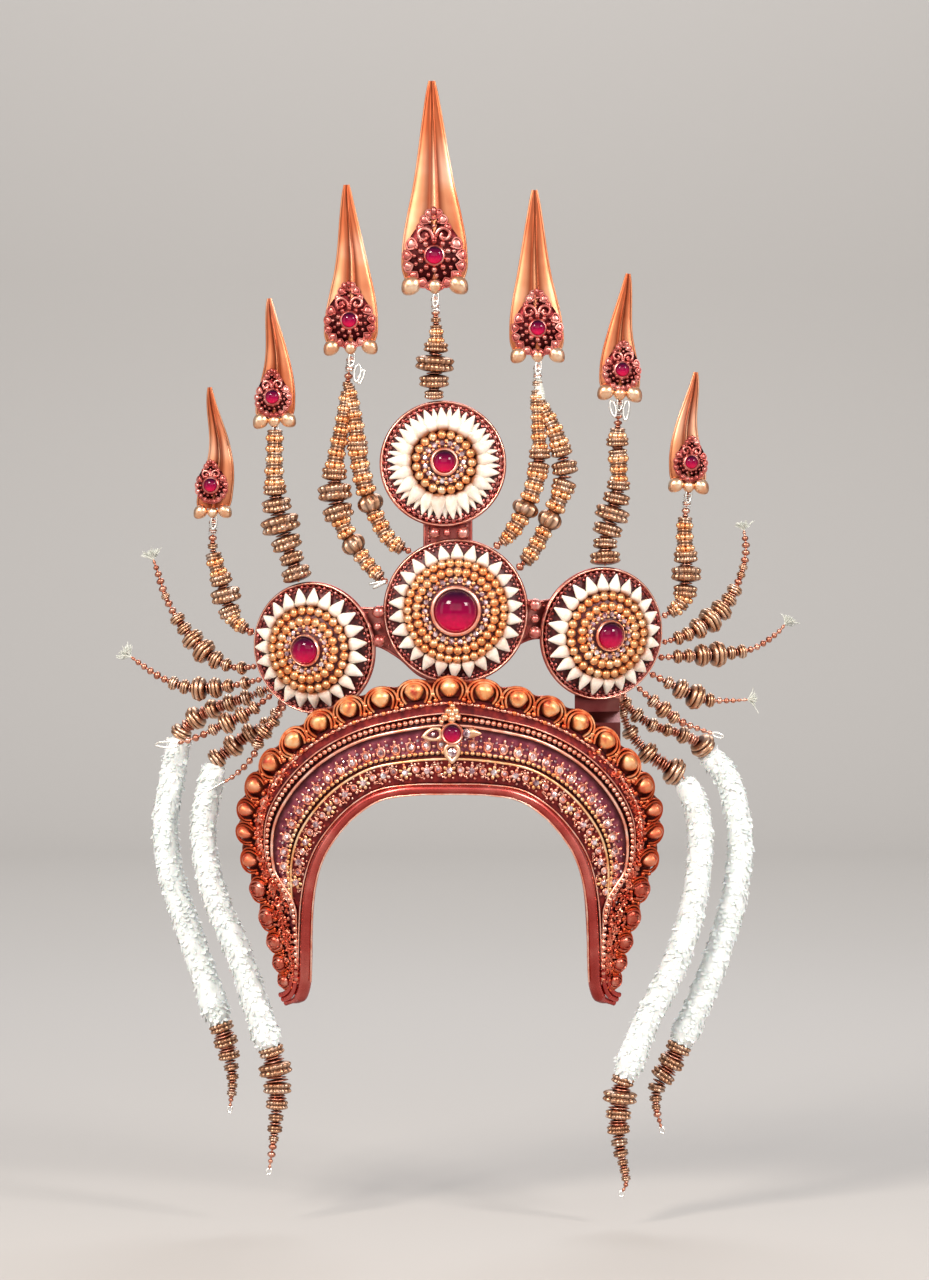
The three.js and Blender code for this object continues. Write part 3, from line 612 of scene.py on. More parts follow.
smallBead = shapeFrom([bead(10, 6)])
grain = shapeFrom([bead(8, 4)])
bigFlanged = shapeFrom([bothHalves(flangedHalf, [(0.43, 0, 1)], 54, 18, 0.1)], 60)
smallFlanged = shapeFrom([bothHalves(flangedHalf, [(0.43, 0, 1)], 30, 10, 0.1)], 60)
melon = shapeFrom([lathe(melonRows, 32, 8, 0.2, 0.31)], 60)
ringed = shapeFrom([bothHalves(ringedHalf, [], 18)], 60)
petal = shapeFrom([lyingLathe(petalRows, 10)], 60)
lobe = shapeFrom([lyingLathe(lobeRows, 20)], 60)
stone = shapeFrom([cutStone()], 5)
fluff = shapeFrom([fluffPetal()], 80)
shellPetal = shapeFrom(cuppedShell(), 50)
curlPair = shapeFrom(curls(), 60)
cup = shapeFrom([ringTube(ringPoints(0.5, 0, turnsOf(12)), 0.13, 4)], 60)
ringPetal = shapeFrom([ringTube(tear(0.36, 0.46, 0, 24), 0.12, 8)], 60)
print("shapes ready")


# Diadem

head = {"halfWidth": 138, "depth": 92, "legSweep": 0.0022}
diadem = {"rimWidth": 6.4, "rimGrowth": 2, "crestWidth": 12, "crestShare": 0.46, "seam": 0.4, "back": -2,
          "sheetSpan": (0.012, 0.988), "stations": 360, "lineSpan": (0.015, 0.985)}
diademHalf = [
    # innerX, innerZ, outerX, outerZ
    [0, 0, 0, 66.5], [20, -0.5, 31, 62], [38, -3.5, 60, 53.5], [52, -12.5, 86, 39], [62, -23.5, 107, 18],
    [69, -34.5, 118.5, -4], [73.5, -47, 119.5, -25], [76, -62, 112.5, -52], [77, -80, 105, -78],
    [77.5, -96, 99.5, -98], [78, -110, 95, -114],
]
# share of the band's width, height, enamel tone (1 is the sunk plum band), and darkness: patina in the steps,
# painted shade beside the raised ridges
bandProfile = [
    (-0.04, 0.2, 0, 1), (0, 0.9, 0, 0.8), (0.03, 1.3, 0, 0.2), (0.25, 1.3, 0, 0.1), (0.275, 1.8, 0, 0),
    (0.31, 1.8, 0, 0.4), (0.33, 1.1, 0, 0.9), (0.36, 0.7, 1, 0.8), (0.4, 0.4, 1, 0.3), (0.5, 0.3, 1, 0),
    (0.6, 0.5, 1, 0.1), (0.64, 0.6, 1, 0.6), (0.67, 1.6, 0, 0.8), (0.69, 2.2, 0, 0.3), (0.72, 1.6, 0, 0.9),
    (0.765, 1.4, 0, 0.9), (0.8, 1.7, 0, 0.9), (0.82, 2.4, 0, 0.3), (0.84, 2.0, 0, 0.3), (0.9, 2.1, 0, 0),
    (0.96, 2.3, 0, 0.2), (1.0, 2.6, 0, 0.6), (1.03, 1.6, 0, 1),
]


def fullArch(columns):
    half = np.array([[row[column] for column in columns] for row in diademHalf], float)
    return curvePoints(np.vstack([half[:0:-1] * [-1, 1], half]), 24)


innerArch = fullArch((0, 1))
outerArch = fullArch((2, 3))


def headDepth(x, z):
    bend = head["depth"] * (1 - np.sqrt(1 - (x / head["halfWidth"]) ** 2))
    return bend + head["legSweep"] * np.minimum(z, 0) ** 2


def onDiadem(share, across, height=0.0):
    # points at a share along the arch, millimetres outward from the face opening, and their facing
    inner = atShare(innerArch, share)
    outward = unit(atShare(outerArch, share) - inner)
    x, z = np.moveaxis(inner + outward * np.asarray(across, float)[..., None], -1, 0)
    slope = (headDepth(x + 1, z) - headDepth(x - 1, z)) / 2
    fall = (headDepth(x, z + 1) - headDepth(x, z - 1)) / 2
    facing = unit(np.stack([slope, -np.ones_like(slope), fall], axis=-1))
    surface = np.stack([x, headDepth(x, z), z], axis=-1)
    return surface + facing * np.asarray(height, float)[..., None], facing


def outwardAt(share, across):
    across = np.asarray(across, float) + 0 * share
    return unit(onDiadem(share, across + 1)[0] - onDiadem(share, across)[0])


def rimWidth(share):
    return diadem["rimWidth"] + diadem["rimGrowth"] * np.abs(2 * np.asarray(share) - 1)


def bandWidth(share):
    return np.linalg.norm(atShare(outerArch, share) - atShare(innerArch, share), axis=-1)


def crestWidth(share):
    return np.minimum(diadem["crestWidth"], diadem["crestShare"] * bandWidth(share))


def shellWidth(share):
    return bandWidth(share) - crestWidth(share) - rimWidth(share) - diadem["seam"]


def acrossShell(share, part):
    return rimWidth(share) + part * shellWidth(share)


def narrowing(share):
    # 0 where the band is broad, 1 down the legs
    return np.clip((26 - shellWidth(share)) / 18, 0, 1)


def pearlPart(share):
    # where the row of pearls runs: it bends inward down the legs
    bend = np.clip(1.3 * narrowing(share), 0, 1)
    return 0.765 - 0.55 * bend * bend * (3 - 2 * bend)


def sideways(share):
    # 0 over the brow, 1 from the temples down
    return np.clip((np.abs(2 * share - 1) - 0.3) / 0.2, 0, 1)


def fixed(part):
    return lambda share: part + 0 * share


def spaced(part, spacing, narrowest=0.0):
    # shares at an even spacing along a line of the band, where the band is wide enough
    shares = np.linspace(*diadem["lineSpan"], 1500)
    shares = shares[shellWidth(shares) >= narrowest]
    reached = reachedAlong(onDiadem(shares, acrossShell(shares, part(shares)))[0])
    count = max(2, round(reached[-1] / spacing))
    return np.interp((np.arange(count) + 0.5) * reached[-1] / count, reached, shares)


def setOnBand(shape, finish, part, height, spacing, sizes, narrowest=0, widest=99, tilt=0.0):
    shares = spaced(part, spacing, narrowest)
    shares = shares[shellWidth(shares) < widest]
    across = acrossShell(shares, part(shares))
    points, facing = onDiadem(shares, across, height)
    return setShapes(shape, finish, points, facing, outwardAt(shares, across), sizes, tilt)


def bandSheet():
    rings, shades, tones = [], [], []
    for share in np.linspace(*diadem["sheetSpan"], diadem["stations"]):
        flat = float(np.clip(shellWidth(share) / 20, 0.1, 1))
        rows = [(part, height * (0.4 + 0.6 * flat), tone * flat, dark)
                for part, height, tone, dark in bandProfile]
        rows += [(part, diadem["back"], 0, 0.3) for part in (1.03, 0.5, -0.04)]
        rings.append(np.array([onDiadem(share, acrossShell(share, row[0]), row[1])[0] for row in rows]) * mm)
        tones.extend(row[2] for row in rows)
        shades.append([row[3] for row in rows])
    mesh = bpy.data.meshes.new("band")
    points, faces, shade = loft(rings, shades, capped=True)
    mesh.from_pydata(points.tolist(), [], faces)
    setLayer(mesh, "patinaAndShade", shade)
    setLayer(mesh, "tone", tones)
    return cleaned(mesh, 35)


def bandLines(finish, lines):
    # wires along the band, thinner down the legs: place across, height, radius, narrowest band
    routes, radii = [], []
    for part, height, radius, narrowest in lines:
        shares = np.linspace(*diadem["lineSpan"], 400)
        shares = shares[shellWidth(shares) >= narrowest]
        routes.append(onDiadem(shares, acrossShell(shares, part(shares)), height)[0])
        radii.append(radius * (1 - 0.5 * narrowing(shares)))
    return drawWires(finish, routes, radii)


ridgeLines = [(lambda share: pearlPart(share) - 0.08, 2.3, 0.95, 3),
              (lambda share: pearlPart(share) + 0.06 + 0.12 * narrowing(share), 2.5, 0.4, 12)]
# rows of beads: place across, height, spacing, size, narrowest and widest band, tilt
pearlRows = [(pearlPart, 3.1, 3.3, (3.2, 3.0, 2.9), 10), (pearlPart, 2.4, 3.9, 3.4, 0, 10),
             (fixed(0.945), 2.7, 3.8, (4.2, 2.0, 1.7), 30, 99, 0.12)]
giltRow = {"beads": (fixed(0.365), 1.8, 3.2, (2.9, 2.4, 2.3), 14), "line": (fixed(0.29), 2.2, 0.75, 14)}


def makeBand():
    makePiece("diadem_band", [bandSheet()], burgundyEnamel, ["diadem_shell"])
    makePiece("diadem_ridges", [bandLines(giltCopperWire, ridgeLines)], giltCopperWire)
    makePiece("diadem_pearls", [setOnBand(smallBead, giltCopperWire, *row) for row in pearlRows],
              giltCopperWire)
    makePiece("diadem_gilt_row", [setOnBand(smallBead, giltBead, *giltRow["beads"]),
                                  bandLines(giltBead, [giltRow["line"]])], giltBead)


chasing = {"spacing": 1.35, "perStep": 6, "height": 2.0, "lift": 0.8, "size": (1.2, 2.4), "flatness": 0.9,
           "curlSpacing": 5.2, "curlPart": 0.92, "curlHeight": 2.9, "curlSize": (5.0, 5.4, 5.0), "tilt": 0.5}


def makeGrains():
    # chased ground from the temples down, between the outer ridge and the crest: grains and small curls
    draw = np.random.default_rng(11)
    shares = np.repeat(spaced(fixed(0.9), chasing["spacing"]), chasing["perStep"])
    shares = shares[draw.random(len(shares)) < sideways(shares)]
    low = acrossShell(shares, pearlPart(shares) + 0.1 + 0.16 * narrowing(shares))
    high = bandWidth(shares) - crestWidth(shares) * (0.98 - 0.36 * narrowing(shares))
    across = low + (high - low) * draw.random(len(shares))
    points, facing = onDiadem(shares, across, chasing["height"] + chasing["lift"] * draw.random(len(shares)))
    size = draw.uniform(*chasing["size"], (len(shares), 1)) * np.array([1, 1, chasing["flatness"]])
    made = [setShapes(grain, castCopper, points, facing, outwardAt(shares, across), size, chasing["tilt"], 5)]
    shares = spaced(fixed(chasing["curlPart"]), chasing["curlSpacing"])
    shares = shares[sideways(shares) > 0.4]
    part = chasing["curlPart"] - 0.14 * narrowing(shares) + 0.02 * np.cos(np.arange(len(shares)) * math.pi)
    across = acrossShell(shares, part)
    points, facing = onDiadem(shares, across, chasing["curlHeight"])
    made.append(setShapes(curlPair, castCopper, points, facing, outwardAt(shares, across),
                          chasing["curlSize"], chasing["tilt"], 6))
    makePiece("diadem_grains", made, castCopper)


# groups on the band: place across, spacing, narrowest band
drops = (0.47, 8.6, 15)
hearts = (0.155, 12.4, 20)
# and their parts: shape, millimetres along and across, height, size, turn
dropStones = [(stone, 0, -0.4, 1.2, (3.6, 4.4, 3.6), 0), (stone, 4.3, 2.6, 1.1, 1.8, 0)]
heartStones = [(stone, 0, 0, 2.8, 4.4, 0), (stone, 6.2, 0.4, 2.2, 2.8, 0)]
dropCups = [(cup, 0, -0.4, 1.5, (4.4, 5.3, 4.4), 0), (smallBead, 0, 3.9, 1.2, (1.7, 2.9, 1.7), 0),
            (grain, 4.3, -1.2, 1.0, 2.5, 0), (grain, 4.3, 4.6, 1.0, 1.3, 0), (grain, 2.4, 1.9, 0.9, 1.2, 0),
            (grain, -2.4, 1.9, 0.9, 1.2, 0), (grain, 0, -4.0, 0.9, 1.3, 0)]
heartVines = [(curlPair, 3.9, 2.6, 2.0, (2.9, 2.7, 2.8), 0.4),
              (curlPair, -3.9, -2.6, 2.0, (2.9, 2.7, 2.8), 3.6), (cup, 6.2, 0.4, 2.2, (3.4, 3.4, 3.2), 0)]
heartVines += [(grain, x, y, 1.8, size, 0)
               for x, y, size in ((6.2, 3.4, 1.9), (6.2, -2.9, 2.1), (2.2, -4.2, 1.4), (-2.2, -4.2, 1.4),
                                  (4.4, 4.3, 1.3), (-4.4, 4.3, 1.3), (0, 4.4, 1.6))]
heartLeaves = [(smallBead, 2.7 * math.sin(turn), 2.7 * math.cos(turn), 2.2, (2.1, 2.7, 1.8), turn)
               for turn in np.arange(6) * math.pi / 3]


def bandGroups(finish, place, rows, first=0, step=1):
    # the same small group at an even spacing
    part, spacing, narrowest = place
    shares = spaced(fixed(part), spacing, narrowest)[first::step]
    across = acrossShell(shares, part)
    points, facing = onDiadem(shares, across)
    outward = outwardAt(shares, across)
    along = np.cross(outward, facing)
    return [setShapes(shape, finish, points + along * x + outward * y + facing * height, facing,
                      along * math.sin(turn) + outward * math.cos(turn), size, 0.15, index + 2)
            for index, (shape, x, y, height, size, turn) in enumerate(rows)]


def makeBandStones():
    for name, finish, groups in (
            ("diadem_crystals", foiledCrystal, ((drops, dropStones), (hearts, heartStones))),
            ("diadem_settings", giltCopperWire, ((drops, dropCups), (hearts, heartVines))),
            ("diadem_gilt_flowers", giltBead, ((hearts, heartLeaves, 0, 2),)),
            ("diadem_rose_flowers", giltCopperWire, ((hearts, heartLeaves, 1, 2),))):
        makePiece(name, [mesh for group in groups for mesh in bandGroups(finish, *group)], finish)


# the crest and, in the unit of its bosses, the leaves of its domes, teeth and arches
crest = {"bossCount": 31, "start": 0.004, "span": 0.992, "stepsPerBoss": 12, "scallop": 1.8,
         "toothFrom": 0.12, "tubeEnds": ((0.93, 0.45), (0.72, 0.9))}
bossUnit = Matrix.Diagonal((1 / 16.7, 1 / 12, 1 / 12, 1))  # 16.7 by 12 millimetres make one unit
# horseshoes: half width, half height, middle, tail, height, radius
toothFolds = [(2.7, 3.4, 0.2, -3.4, 6.3, 0.62), (5.0, 6.0, -0.6, -5.6, 4.4, 0.7)]
archTubes = [(5.9, 6.0, -1.1, -6.8, 3.3, 0.72), (7.7, 7.1, -1.1, -7.4, 2.9, 0.68)]
archBead = [(0, -1.3, 1), (1.0, -0.9, 1), (1.3, 0, 0.2), (1.0, 0.9, 0), (0, 1.3, 0)]
archBeadPlaces = [(0, -8.0, 2.6), (8.1, -2.4, 2.6), (6.4, -6.4, 2.4), (-6.4, -6.4, 2.4)]


def crestSheet():
    steps = crest["stepsPerBoss"]
    stations = crest["bossCount"] * steps
    rings, shades = [], []
    for station in range(stations + 1):
        share = crest["start"] + crest["span"] * station / stations
        wave = 0.5 - 0.5 * math.cos(2 * math.pi * station / steps)
        inside = float(bandWidth(share) - crestWidth(share))
        outside = float(bandWidth(share)) - crest["scallop"] * (1 - wave) ** 2
        rows = [(0, 1.2, 1), (0.06, 1.7, 1), (0.5, 1.2 + 0.4 * wave, 1), (0.85, 1.2, 1), (0.97, 1.3, 0.6),
                (1, 0.7, 0.2), (1, diadem["back"], 0.3), (0, diadem["back"], 0.3)]
        rings.append(np.array([onDiadem(share, inside + part * (outside - inside), height)[0]
                               for part, height, dark in rows]) * mm)
        shades.append([dark for part, height, dark in rows])
    return meshOf([loft(rings, shades, capped=True)], 35)


def horseshoe(halfWidth, halfHeight, middle, tail, height, radius):
    # an arch over a boss, its ends running inward
    angles = np.radians(np.linspace(-12, 192, 22))
    arch = np.stack([halfWidth * np.cos(angles), middle + halfHeight * np.sin(angles), 0 * angles + height],
                    axis=1)
    ends = np.array(crest["tubeEnds"]) * [halfWidth, tail - middle] + [0, middle]
    foot = np.column_stack([ends, [height - 0.3, height - 0.9]])
    return moved(ringTube(np.vstack([foot[::-1], arch, foot * [-1, 1, 1]]), radius, closed=False), bossUnit)


def acornDome(radius, tail, middle, base, rise=5.2, turns=26, rows=7):
    # round outward, drawn to a blunt point inward; dark round its foot, and its pointed side painted darker
    # as shade
    angles = turnsOf(turns)
    inward = np.maximum(-np.sin(angles), 0)
    x = radius * np.cos(angles) * (1 - 0.25 * inward)
    y = np.where(np.sin(angles) > 0, radius, tail) * np.sin(angles)
    rings, shades = [], []
    for lean in np.linspace(0, 0.5 * np.pi, rows):
        shrink = math.cos(lean)
        high = base + rise * math.sin(lean) * (1 - 0.25 * inward * shrink)
        rings.append(np.stack([x * shrink, middle + y * shrink, high], axis=1))
        shades.append(np.clip(0.95 - 2.2 * math.sin(lean) + 0.5 * inward * shrink, 0, 1))
    foot = rings[0] * [1, 1, 0] + [0, 0, base - 1.4]
    return loft([foot * [0, 0, 1] + [0, middle, 0], foot] + rings, [np.ones(turns)] * 2 + shades)


def makeCrest():
    # domes over the brow, teeth with their points outward down the legs, nested arches over them all
    turned = bossUnit @ Matrix.Rotation(math.pi, 4, "Z")
    dome = shapeFrom([moved(acornDome(4.6, 5.2, 0.2, 1.6), bossUnit)], 50)
    leaf = moved(acornDome(5.3, 7.2, 0.4, 1.4), turned)
    tooth = shapeFrom([leaf] + [horseshoe(*fold) for fold in toothFolds], 50)
    arch = shapeFrom([horseshoe(*tube) for tube in archTubes]
                     + [moved(moved(lathe(archBead, 10), Matrix.Translation(at)), bossUnit)
                        for at in archBeadPlaces], 50)
    shares = crest["start"] + crest["span"] * (np.arange(crest["bossCount"]) + 0.5) / crest["bossCount"]
    depth = crestWidth(shares) * (1.06 - 0.28 * narrowing(shares))
    across = bandWidth(shares) - 0.5 * depth
    points, facing = onDiadem(shares, across, 1.2)
    step = 0.5 * crest["span"] / crest["bossCount"]
    spread = np.linalg.norm(onDiadem(shares + step, across)[0] - onDiadem(shares - step, across)[0], axis=1)
    sizes = np.stack([1.06 * spread, depth, 12 - 3.0 * narrowing(shares)], axis=1)
    outward = outwardAt(shares, across)
    warmth = 0.75 * sideways(shares) + 0.25 * narrowing(shares)
    leg = narrowing(shares) > crest["toothFrom"]
    for name, shape, finish, kept, tilt, tones in (
            ("diadem_bosses", dome, domeGilt, ~leg, 0.06, warmth),
            ("diadem_teeth", tooth, legCopper, leg, 0.06, warmth),
            ("diadem_arches", arch, archCopper, leg | ~leg, 0.04, sideways(shares))):
        mesh = setShapes(shape, finish, points[kept], facing[kept], outward[kept], sizes[kept], tilt, 2,
                         tones[kept])
        makePiece(name, [mesh], finish)
    makePiece("diadem_crest_sheet", [crestSheet()], castCopper, ["diadem_crest"])


roll = {"span": (0.01, 0.99), "corners": [8, 12] + list(range(20, 140, 8)) + [147, 151],
        "hook": [(83.4, -111.8), (86.4, -118), (94.4, -121.8)], "drawnShare": 0.05, "drawnTo": 0.4,
        "ridges": [([87.4, 88, 89.8, 92.6, 96], [-101, -108.5, -114.6, -118, -119.4]),
                   ([90.2, 91, 92.6, 95, 97.4], [-105, -110, -113.8, -116, -116.8])], "ridgeRadius": 1.5}


def makeRoll():
    shares = np.linspace(*roll["span"], 160)
    lining = onDiadem(shares, rimWidth(shares) / 2, 0.6)[0]
    hook = np.array([[x, headDepth(x, z) - 0.4, z] for x, z in roll["hook"]])
    route = curvePoints(np.vstack([(hook * [-1, 1, 1])[::-1], lining[roll["corners"]], hook]), 12)
    share = np.linspace(0, 1, len(route))
    drawn = np.clip(np.minimum(share, 1 - share) / roll["drawnShare"], roll["drawnTo"], 1)
    rim = drawWires(roseCopperRoll, [route], [(rimWidth(share) / 2 - 0.3) * drawn], 20)
    # painted shade: darker where it faces down
    setLayer(rim, "patinaAndShade", [min(0.75, max(0.0, -0.2 - vertex.normal.z)) for vertex in rim.vertices])
    lip = onDiadem(shares, 0.5 + 0 * shares, 2.2)[0]
    seam = onDiadem(shares, rimWidth(shares) - 0.3, 2.3)[0]
    makePiece("diadem_roll_edges", [drawWires(giltCopperWire, [lip, seam], [0.5, 0.45])], giltCopperWire)
    rolled = [rim]
    for side in (-1, 1):
        # ridges beside the roll, sweeping outward over the leg's end
        for x, z in np.array(roll["ridges"]):
            ridge = np.stack([side * x, headDepth(x, z) - 3, z], axis=1)
            rolled.append(drawWires(roseCopperRoll, [curvePoints(ridge, 6)], roll["ridgeRadius"], 10))
    makePiece("diadem_roll", rolled, roseCopperRoll, ["diadem_rim"])


def cabochon(radius, rise, place, sink=0.8):
    # a glass dome; its tone says how far down it a point lies, and the ruby finish paints a glow by it
    rows = [(0, -sink, 0), (radius, -sink, 0), (radius, 0, 0)]
    rows += [(radius * math.cos(a), rise * math.sin(a), 0) for a in np.linspace(0, math.pi / 2, 9)[1:]]
    mesh = meshOf([moved(lathe(rows, 40), place)], 60)
    heights = np.array([vertex.co.z for vertex in mesh.vertices])
    setLayer(mesh, "tone", (heights.max() - heights) / (heights.max() - heights.min()))
    return mesh


browFlower = {
    "front": -3.7, "middle": (1.5, 34.5), "ruby": (4.6, 3.2), "rubyLift": 3.6,
    # nuggets of the cluster above: x, z, size
    "cluster": [(-2.6, 43.6, 4.4), (1.2, 42.4, 4.8), (4.6, 43.8, 4.2), (-0.6, 47.0, 4.6), (3.4, 47.2, 4.4),
                (1.6, 50.0, 3.6), (-4.4, 41.2, 3.0), (1.2, 45.0, 4.2)],
    "bezel": [(6.1, 0, 1), (6.4, 2, 0.3), (6.2, 4.0, 0), (5.6, 4.7, 0), (4.8, 4.4, 0.1), (4.4, 3.2, 1),
              (0, 3.0, 1), (0, 0, 1), (6.1, 0, 1)],
    # a ring petal, a leaf and a ringed drop: x, in front, z, direction, size
    "petals": [(ringPetal, -9.6, 1.8, 34.0, (0.97, 0, 0.2), (8.6, 11.0, 10)),
               (petal, 13.8, 1.4, 34.8, (1, 0, -0.1), (6.4, 8.4, 3.6)),
               (ringPetal, 1.4, 1.6, 23.6, (0, 0, 1), (10.4, 10.4, 9))],
    "crystals": [(-9.0, 1.6, 34.0), (1.5, 1.4, 23.8), (9.6, 2.6, 34.6)],
    "crystalSizes": [(2.6, 2.6, 2), (6.4, 6.4, 6), (5.4, 6.0, 6)],
}


def makeBrowFlower():
    front, (middleX, middleZ) = browFlower["front"], browFlower["middle"]
    turn = Matrix.Rotation(math.pi / 2, 4, "X")
    toFront = inMetres @ (Matrix.Translation((middleX, front, middleZ)) @ turn)
    pale = [setShapes(smallBead, hornGilt, (x, front - 2.2, z), forward, (0.2, 0, 1), size, 0.4, 3)
            for x, z, size in browFlower["cluster"]]
    pale += [setShapes(shape, hornGilt, (x, front - lift, z), forward, direction, size)
             for shape, x, lift, z, direction, size in browFlower["petals"]]
    makePiece("brow_flower_petals", pale, hornGilt, ["brow_flower"])
    makePiece("brow_flower_bezel", [meshOf([moved(lathe(browFlower["bezel"], 32), toFront)], 70)],
              giltCopperWire)
    crystals = setShapes(stone, foiledCrystal,
                         [(x, front - lift, z) for x, lift, z in browFlower["crystals"]], forward, upward,
                         browFlower["crystalSizes"])
    makePiece("brow_flower_crystals", [crystals], foiledCrystal)
    ruby = cabochon(*browFlower["ruby"], toFront @ Matrix.Translation((0, 0, browFlower["rubyLift"])))
    makePiece("brow_flower_ruby", [ruby], rubyGlass, ["brow_ruby"])


makeBand()
makeGrains()
makeBandStones()
makeCrest()
makeRoll()
makeBrowFlower()
print("diadem ready")


# Discs: maroon ground, ivory petals, gilt beads and crystals round a ruby

discs = {
    # rings are radius, count and diameter; petals are root and tip radius, count and width
    "centre": {"at": (3.5, 12, 103), "radius": 41, "yaw": 0, "pitch": 0, "ruby": 11.8, "bezel": 13.7,
               "dome": 13, "crystals": (17.2, 22, 3.7), "gold": [(22.0, 29, 5.2), (27.0, 35, 5.3)],
               "petals": (28.6, 37.8, 26, 7.2), "studs": (38.0, 80, 1.9)},
    "top": {"at": (-3.7, 12, 186), "radius": 35.8, "yaw": 4, "pitch": -3, "ruby": 6, "bezel": 7.5, "dome": 13,
            "crystals": (10.6, 15, 3.7), "gold": [(15.6, 19, 5.4)],
            "petals": (18.2, 31.6, 21, 8.2), "under": (21.0, 32.2), "studs": (32.6, 54, 2.7)},
    "left": {"at": (-76.7, 27.5, 82.3), "radius": 37.8, "yaw": -22, "pitch": 6, "ruby": 7.4, "bezel": 8.6,
             "dome": 14, "crystals": (12.1, 17, 3.6), "gold": [(16.6, 21, 5.4), (22.2, 27, 5.5)],
             "petals": (24.4, 34.6, 23, 7.6), "studs": (34.8, 62, 2.2)},
    "right": {"at": (86, 30, 90.5), "radius": 38, "yaw": 22, "pitch": 6, "ruby": 7.2, "bezel": 8.4,
              "dome": 14, "crystals": (12.0, 17, 3.6), "gold": [(16.5, 21, 5.4), (22.2, 27, 5.5)],
              "petals": (24.4, 34.8, 24, 7.6), "studs": (35.0, 62, 2.2)},
}
discRim = {"wire": 1.25, "studGap": 0.8, "ground": 1.2, "petalLean": 0.3, "petalOverlap": 0.92,
           "ridge": (3.2, 1.4, 0.35)}  # how far inside the edge, height, radius
plate = {"front": 16.5, "flare": 0.0003, "thickness": 2, "edge": 0.7, "wire": 0.9}


def plateFront(x):
    return plate["front"] + headDepth(x, 0) + plate["flare"] * x * x


def discAxes(disc):
    yaw, pitch = math.radians(disc["yaw"]), math.radians(disc["pitch"])
    normal = np.array([math.sin(yaw) * math.cos(pitch), -math.cos(yaw) * math.cos(pitch), -math.sin(pitch)])
    side = unit(np.cross(upward, normal))
    return np.array(disc["at"], float), side, np.cross(normal, side), normal


def discMatrix(disc):
    # from the disc's own millimetres, z toward its front, to metres in place
    at, side, rise, normal = discAxes(disc)
    rows = [[side[row], rise[row], normal[row], at[row]] for row in range(3)]
    return inMetres @ Matrix(rows + [[0, 0, 0, 1]])


def bedProfile(disc):
    # the mound the beads stand on: radius and height, from the ground inward
    radius, dome, bezel, root = disc["radius"], disc["dome"], disc["bezel"], disc["petals"][0]
    return [(radius - 3.4, discRim["ground"]), (root + 5.0, discRim["ground"] + 0.3),
            (root + 2.2, 0.28 * dome),
            (root - 0.5, 0.44 * dome), (0.6 * root + 0.4 * bezel, 0.62 * dome), (bezel + 1.4, 0.76 * dome),
            (bezel - 0.4, 0.82 * dome)]


def bedHeight(disc, radius):
    return float(np.interp(radius, *zip(*bedProfile(disc)[::-1])))


def ringOn(disc, shape, finish, count, radius, height, sizes, lean=0.0, start=0.0, tilt=0.08, uneven=0.0):
    at, side, rise, normal = discAxes(disc)
    angles = start + turnsOf(count)
    sizes = np.asarray(sizes, float) * (1 + uneven * randomDraw.uniform(-1, 1, (count, 1)))
    radial = np.outer(np.cos(angles), side) + np.outer(np.sin(angles), rise)
    points = at + radial * radius + normal * height
    return setShapes(shape, finish, points, unit(normal + lean * radial), radial, sizes, tilt, count)


def discPlate(disc):
    # pressed sheet with a wired edge, on a foot that reaches the backing plate
    radius, wire = disc["radius"], discRim["wire"]
    slope = abs(plateFront(disc["at"][0] + 1) - plateFront(disc["at"][0] - 1)) / 2
    turn = math.radians(abs(disc["yaw"]))
    foot = (plateFront(disc["at"][0]) - disc["at"][1]) / (math.cos(turn) + slope * math.sin(turn))
    foot -= discRim["studGap"]
    edge = [(radius - wire + wire * math.cos(a), wire * math.sin(a), 0.5 if abs(math.sin(a)) > 0.9 else 0)
            for a in np.linspace(-math.pi / 2, 0.86 * math.pi, 11)]
    inside = radius - 2 * wire
    return lathe([(0, -foot, 0.6), (3.1, -foot, 0.6), (3.5, 0.4 - foot, 0.3), (3.5, -wire - 0.8, 0.9),
                  (4.3, -wire, 0.6), (radius - 2.6, -wire, 0.2)] + edge
                 + [(inside - 0.3, 0.4, 1), (inside - 0.5, 0.2, 1), (0, 0.2, 1)], 96)


def discBed(disc):
    # lacquered ground under the petals and mound under the beads
    bed, seat, dome = bedProfile(disc), disc["ruby"] + 0.4, disc["dome"]
    brink, level = bed[2]
    ground = lathe([(0, 0.5, 1), (bed[0][0] - 0.3, 0.5, 1)] + [(r, h, 0.6) for r, h in bed[:2]]
                   + [(brink, level, 1), (brink - 1.5, level - 1.5, 1), (0, level - 1.5, 1)], 96)
    mound = lathe([(0, level - 1.2, 1), (brink, level - 1.2, 0.85)] + [(r, h, 0.85) for r, h in bed[2:]]
                  + [(seat, 0.82 * dome, 1), (seat, 0.7 * dome, 1), (0, 0.7 * dome, 1)], 72)
    return ground, mound


def discCollar(ruby, bezel, dome):
    return lathe([(ruby + 0.3, dome - 2.4, 1), (bezel - 0.4, dome - 2.6, 1), (bezel + 0.5, dome - 1.6, 0.6),
                  (bezel + 0.5, dome - 0.5, 0), (bezel - 0.1, dome + 0.4, 0), (ruby + 0.9, dome + 0.6, 0),
                  (ruby + 0.2, dome + 0.2, 0.1), (ruby - 0.1, dome - 0.6, 0.9), (ruby - 0.1, dome - 2.4, 1),
                  (ruby + 0.3, dome - 2.4, 1)], 64)


